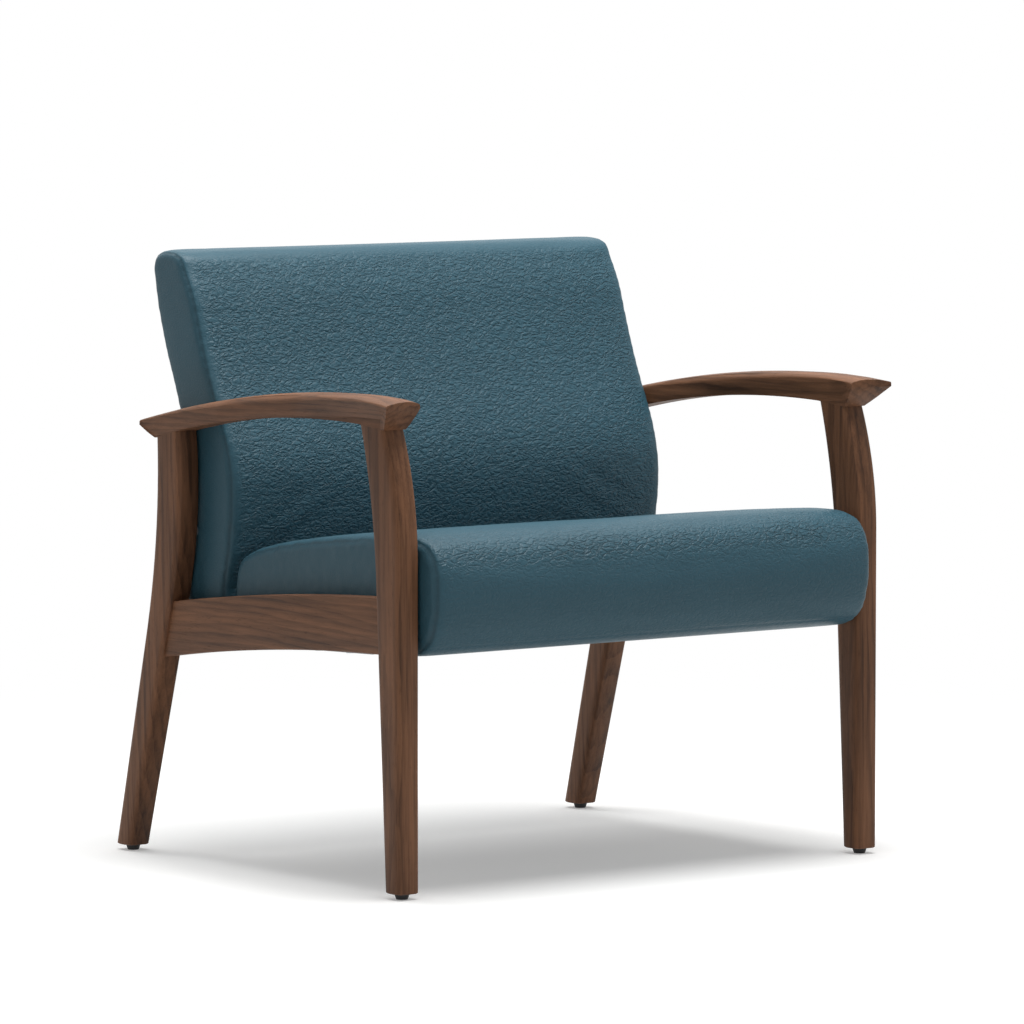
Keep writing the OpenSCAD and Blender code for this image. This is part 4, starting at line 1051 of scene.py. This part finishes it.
class CHAIR_OT_studio(bpy.types.Operator):
    """Set up the floor, the light and the camera"""
    bl_idname = "chair.studio"
    bl_label = "Studio"

    def execute(self, context):
        scene = context.scene
        studio = scene.chair_studio
        scene.view_settings.view_transform = "Standard"
        self.make_camera(scene, studio)
        self.make_floor(studio)
        self.make_world(scene)
        for lamp in LAMPS:
            self.make_lamp(*lamp)
        return {"FINISHED"}

    def make_camera(self, scene, studio):
        a, e = studio.azimuth, studio.elevation
        back = Vector((math.sin(a) * math.cos(e), -math.cos(a) * math.cos(e), math.sin(e)))
        right = Vector((math.cos(a), math.sin(a), 0))
        up = back.cross(right)
        camera = bpy.data.objects.new("camera", bpy.data.cameras.new("camera"))
        scene.collection.objects.link(camera)
        place = VIEW_MIDDLE + back * studio.distance
        camera.location = place + right * studio.right + up * studio.up
        camera.rotation_euler = Matrix((right, up, back)).transposed().to_euler()
        camera.data.sensor_width = SENSOR
        camera.data.lens = studio.lens
        camera.data.clip_end = 100
        scene.camera = camera

    def make_floor(self, studio):
        f = Finish("floor", Roughness=0.9, Specular_IOR_Level=0.1)
        mottle = f.noise(f.place, 3, 3, 0.5)
        rays = [f.add("LightPath", {}, {}, kind) for kind in SEEN_RAYS]
        seen = f.math("MAXIMUM", f.math("MAXIMUM", rays[0], rays[1]), rays[2])
        shown = f.mix(mottle, scaled(studio.floor, 0.995), studio.floor)
        f.colour(f.mix(seen, scaled(studio.floor, studio.floor_bounce), shown))
        far = f.add("VectorMath", {"operation": "LENGTH"}, {0: f.place}, "Value")
        lift = f.add("Emission", {}, {"Strength": seen * studio.floor_lift})
        near = f.add("AddShader", {}, {0: Value(f, f.shader.outputs[0]), 1: lift})
        white = f.add("Emission", {}, {"Strength": 1.0})
        faded = f.add("MixShader", {}, {0: seen * far.step(*FADE), 1: near, 2: white})
        f.feed(f.output.inputs[0], faded)
        bm = bmesh.new()
        bmesh.ops.create_grid(bm, x_segments=8, y_segments=8, size=FLOOR_SIZE)
        mesh = bpy.data.meshes.new("floor")
        bm.to_mesh(mesh)
        bm.free()
        floor = new_object("floor", mesh)
        floor.location.z = -FLOOR_DROP
        floor.data.materials.append(f.material)

    def make_world(self, scene):
        world = bpy.data.worlds.new("studio")
        world.use_nodes = True
        tree = world.node_tree
        tree.nodes.clear()
        output = tree.nodes.new("ShaderNodeOutputWorld")
        plain = tree.nodes.new("ShaderNodeBackground")
        seen = tree.nodes.new("ShaderNodeBackground")
        path = tree.nodes.new("ShaderNodeLightPath")
        widest = path
        for kind in SEEN_RAYS:
            wider = tree.nodes.new("ShaderNodeMath")
            wider.operation = "MAXIMUM"
            tree.links.new(path.outputs[kind], wider.inputs[0])
            tree.links.new(widest.outputs[0], wider.inputs[1])
            widest = wider
        mix = tree.nodes.new("ShaderNodeMixShader")
        plain.inputs["Color"].default_value = (1, 1, 1, 1)
        plain.inputs["Strength"].default_value = WORLD_FILL
        seen.inputs["Color"].default_value = (1, 1, 1, 1)
        seen.inputs["Strength"].default_value = 1.0
        tree.links.new(widest.outputs[0], mix.inputs[0])
        tree.links.new(plain.outputs[0], mix.inputs[1])
        tree.links.new(seen.outputs[0], mix.inputs[2])
        tree.links.new(mix.outputs[0], output.inputs[0])
        scene.world = world

    def make_lamp(self, name, place, size, power):
        light = bpy.data.lights.new(name, "AREA")
        light.shape = "DISK"
        light.size = size
        light.energy = power
        lamp = bpy.data.objects.new(name, light)
        bpy.context.scene.collection.objects.link(lamp)
        lamp.location = place
        lamp.rotation_euler = (LAMP_AIM - Vector(place)).to_track_quat("-Z", "Y").to_euler()


STEPS = (
    CHAIR_OT_finishes, CHAIR_OT_back_cover, CHAIR_OT_seat_cover, CHAIR_OT_stitching,
    CHAIR_OT_wooden_frame, CHAIR_OT_underside, CHAIR_OT_studio,
)
SETTINGS = {
    "chair_cover": CoverSettings, "chair_wood": WoodSettings, "chair_studio": StudioSettings,
}


class CHAIR_PT_parts(bpy.types.Panel):
    """Lists the chair's operators and settings"""
    bl_idname = "CHAIR_PT_parts"
    bl_label = "Chair"
    bl_space_type = "VIEW_3D"
    bl_region_type = "UI"
    bl_category = "Chair"

    def draw(self, context):
        layout = self.layout
        for step in STEPS:
            layout.operator(step.bl_idname)
        for group in SETTINGS:
            settings = getattr(context.scene, group)
            box = layout.box()
            for name in settings.__annotations__:
                box.prop(settings, name)


def register():
    for name, group in SETTINGS.items():
        bpy.utils.register_class(group)
        setattr(bpy.types.Scene, name, PointerProperty(type=group))
    for step in STEPS:
        bpy.utils.register_class(step)
    bpy.utils.register_class(CHAIR_PT_parts)


def unregister():
    bpy.utils.unregister_class(CHAIR_PT_parts)
    for step in reversed(STEPS):
        bpy.utils.unregister_class(step)
    for name, group in reversed(SETTINGS.items()):
        delattr(bpy.types.Scene, name)
        bpy.utils.unregister_class(group)


def main():
    register()
    for step in STEPS:
        group, name = step.bl_idname.split(".")
        getattr(getattr(bpy.ops, group), name)()


if __name__ == "__main__":
    main()
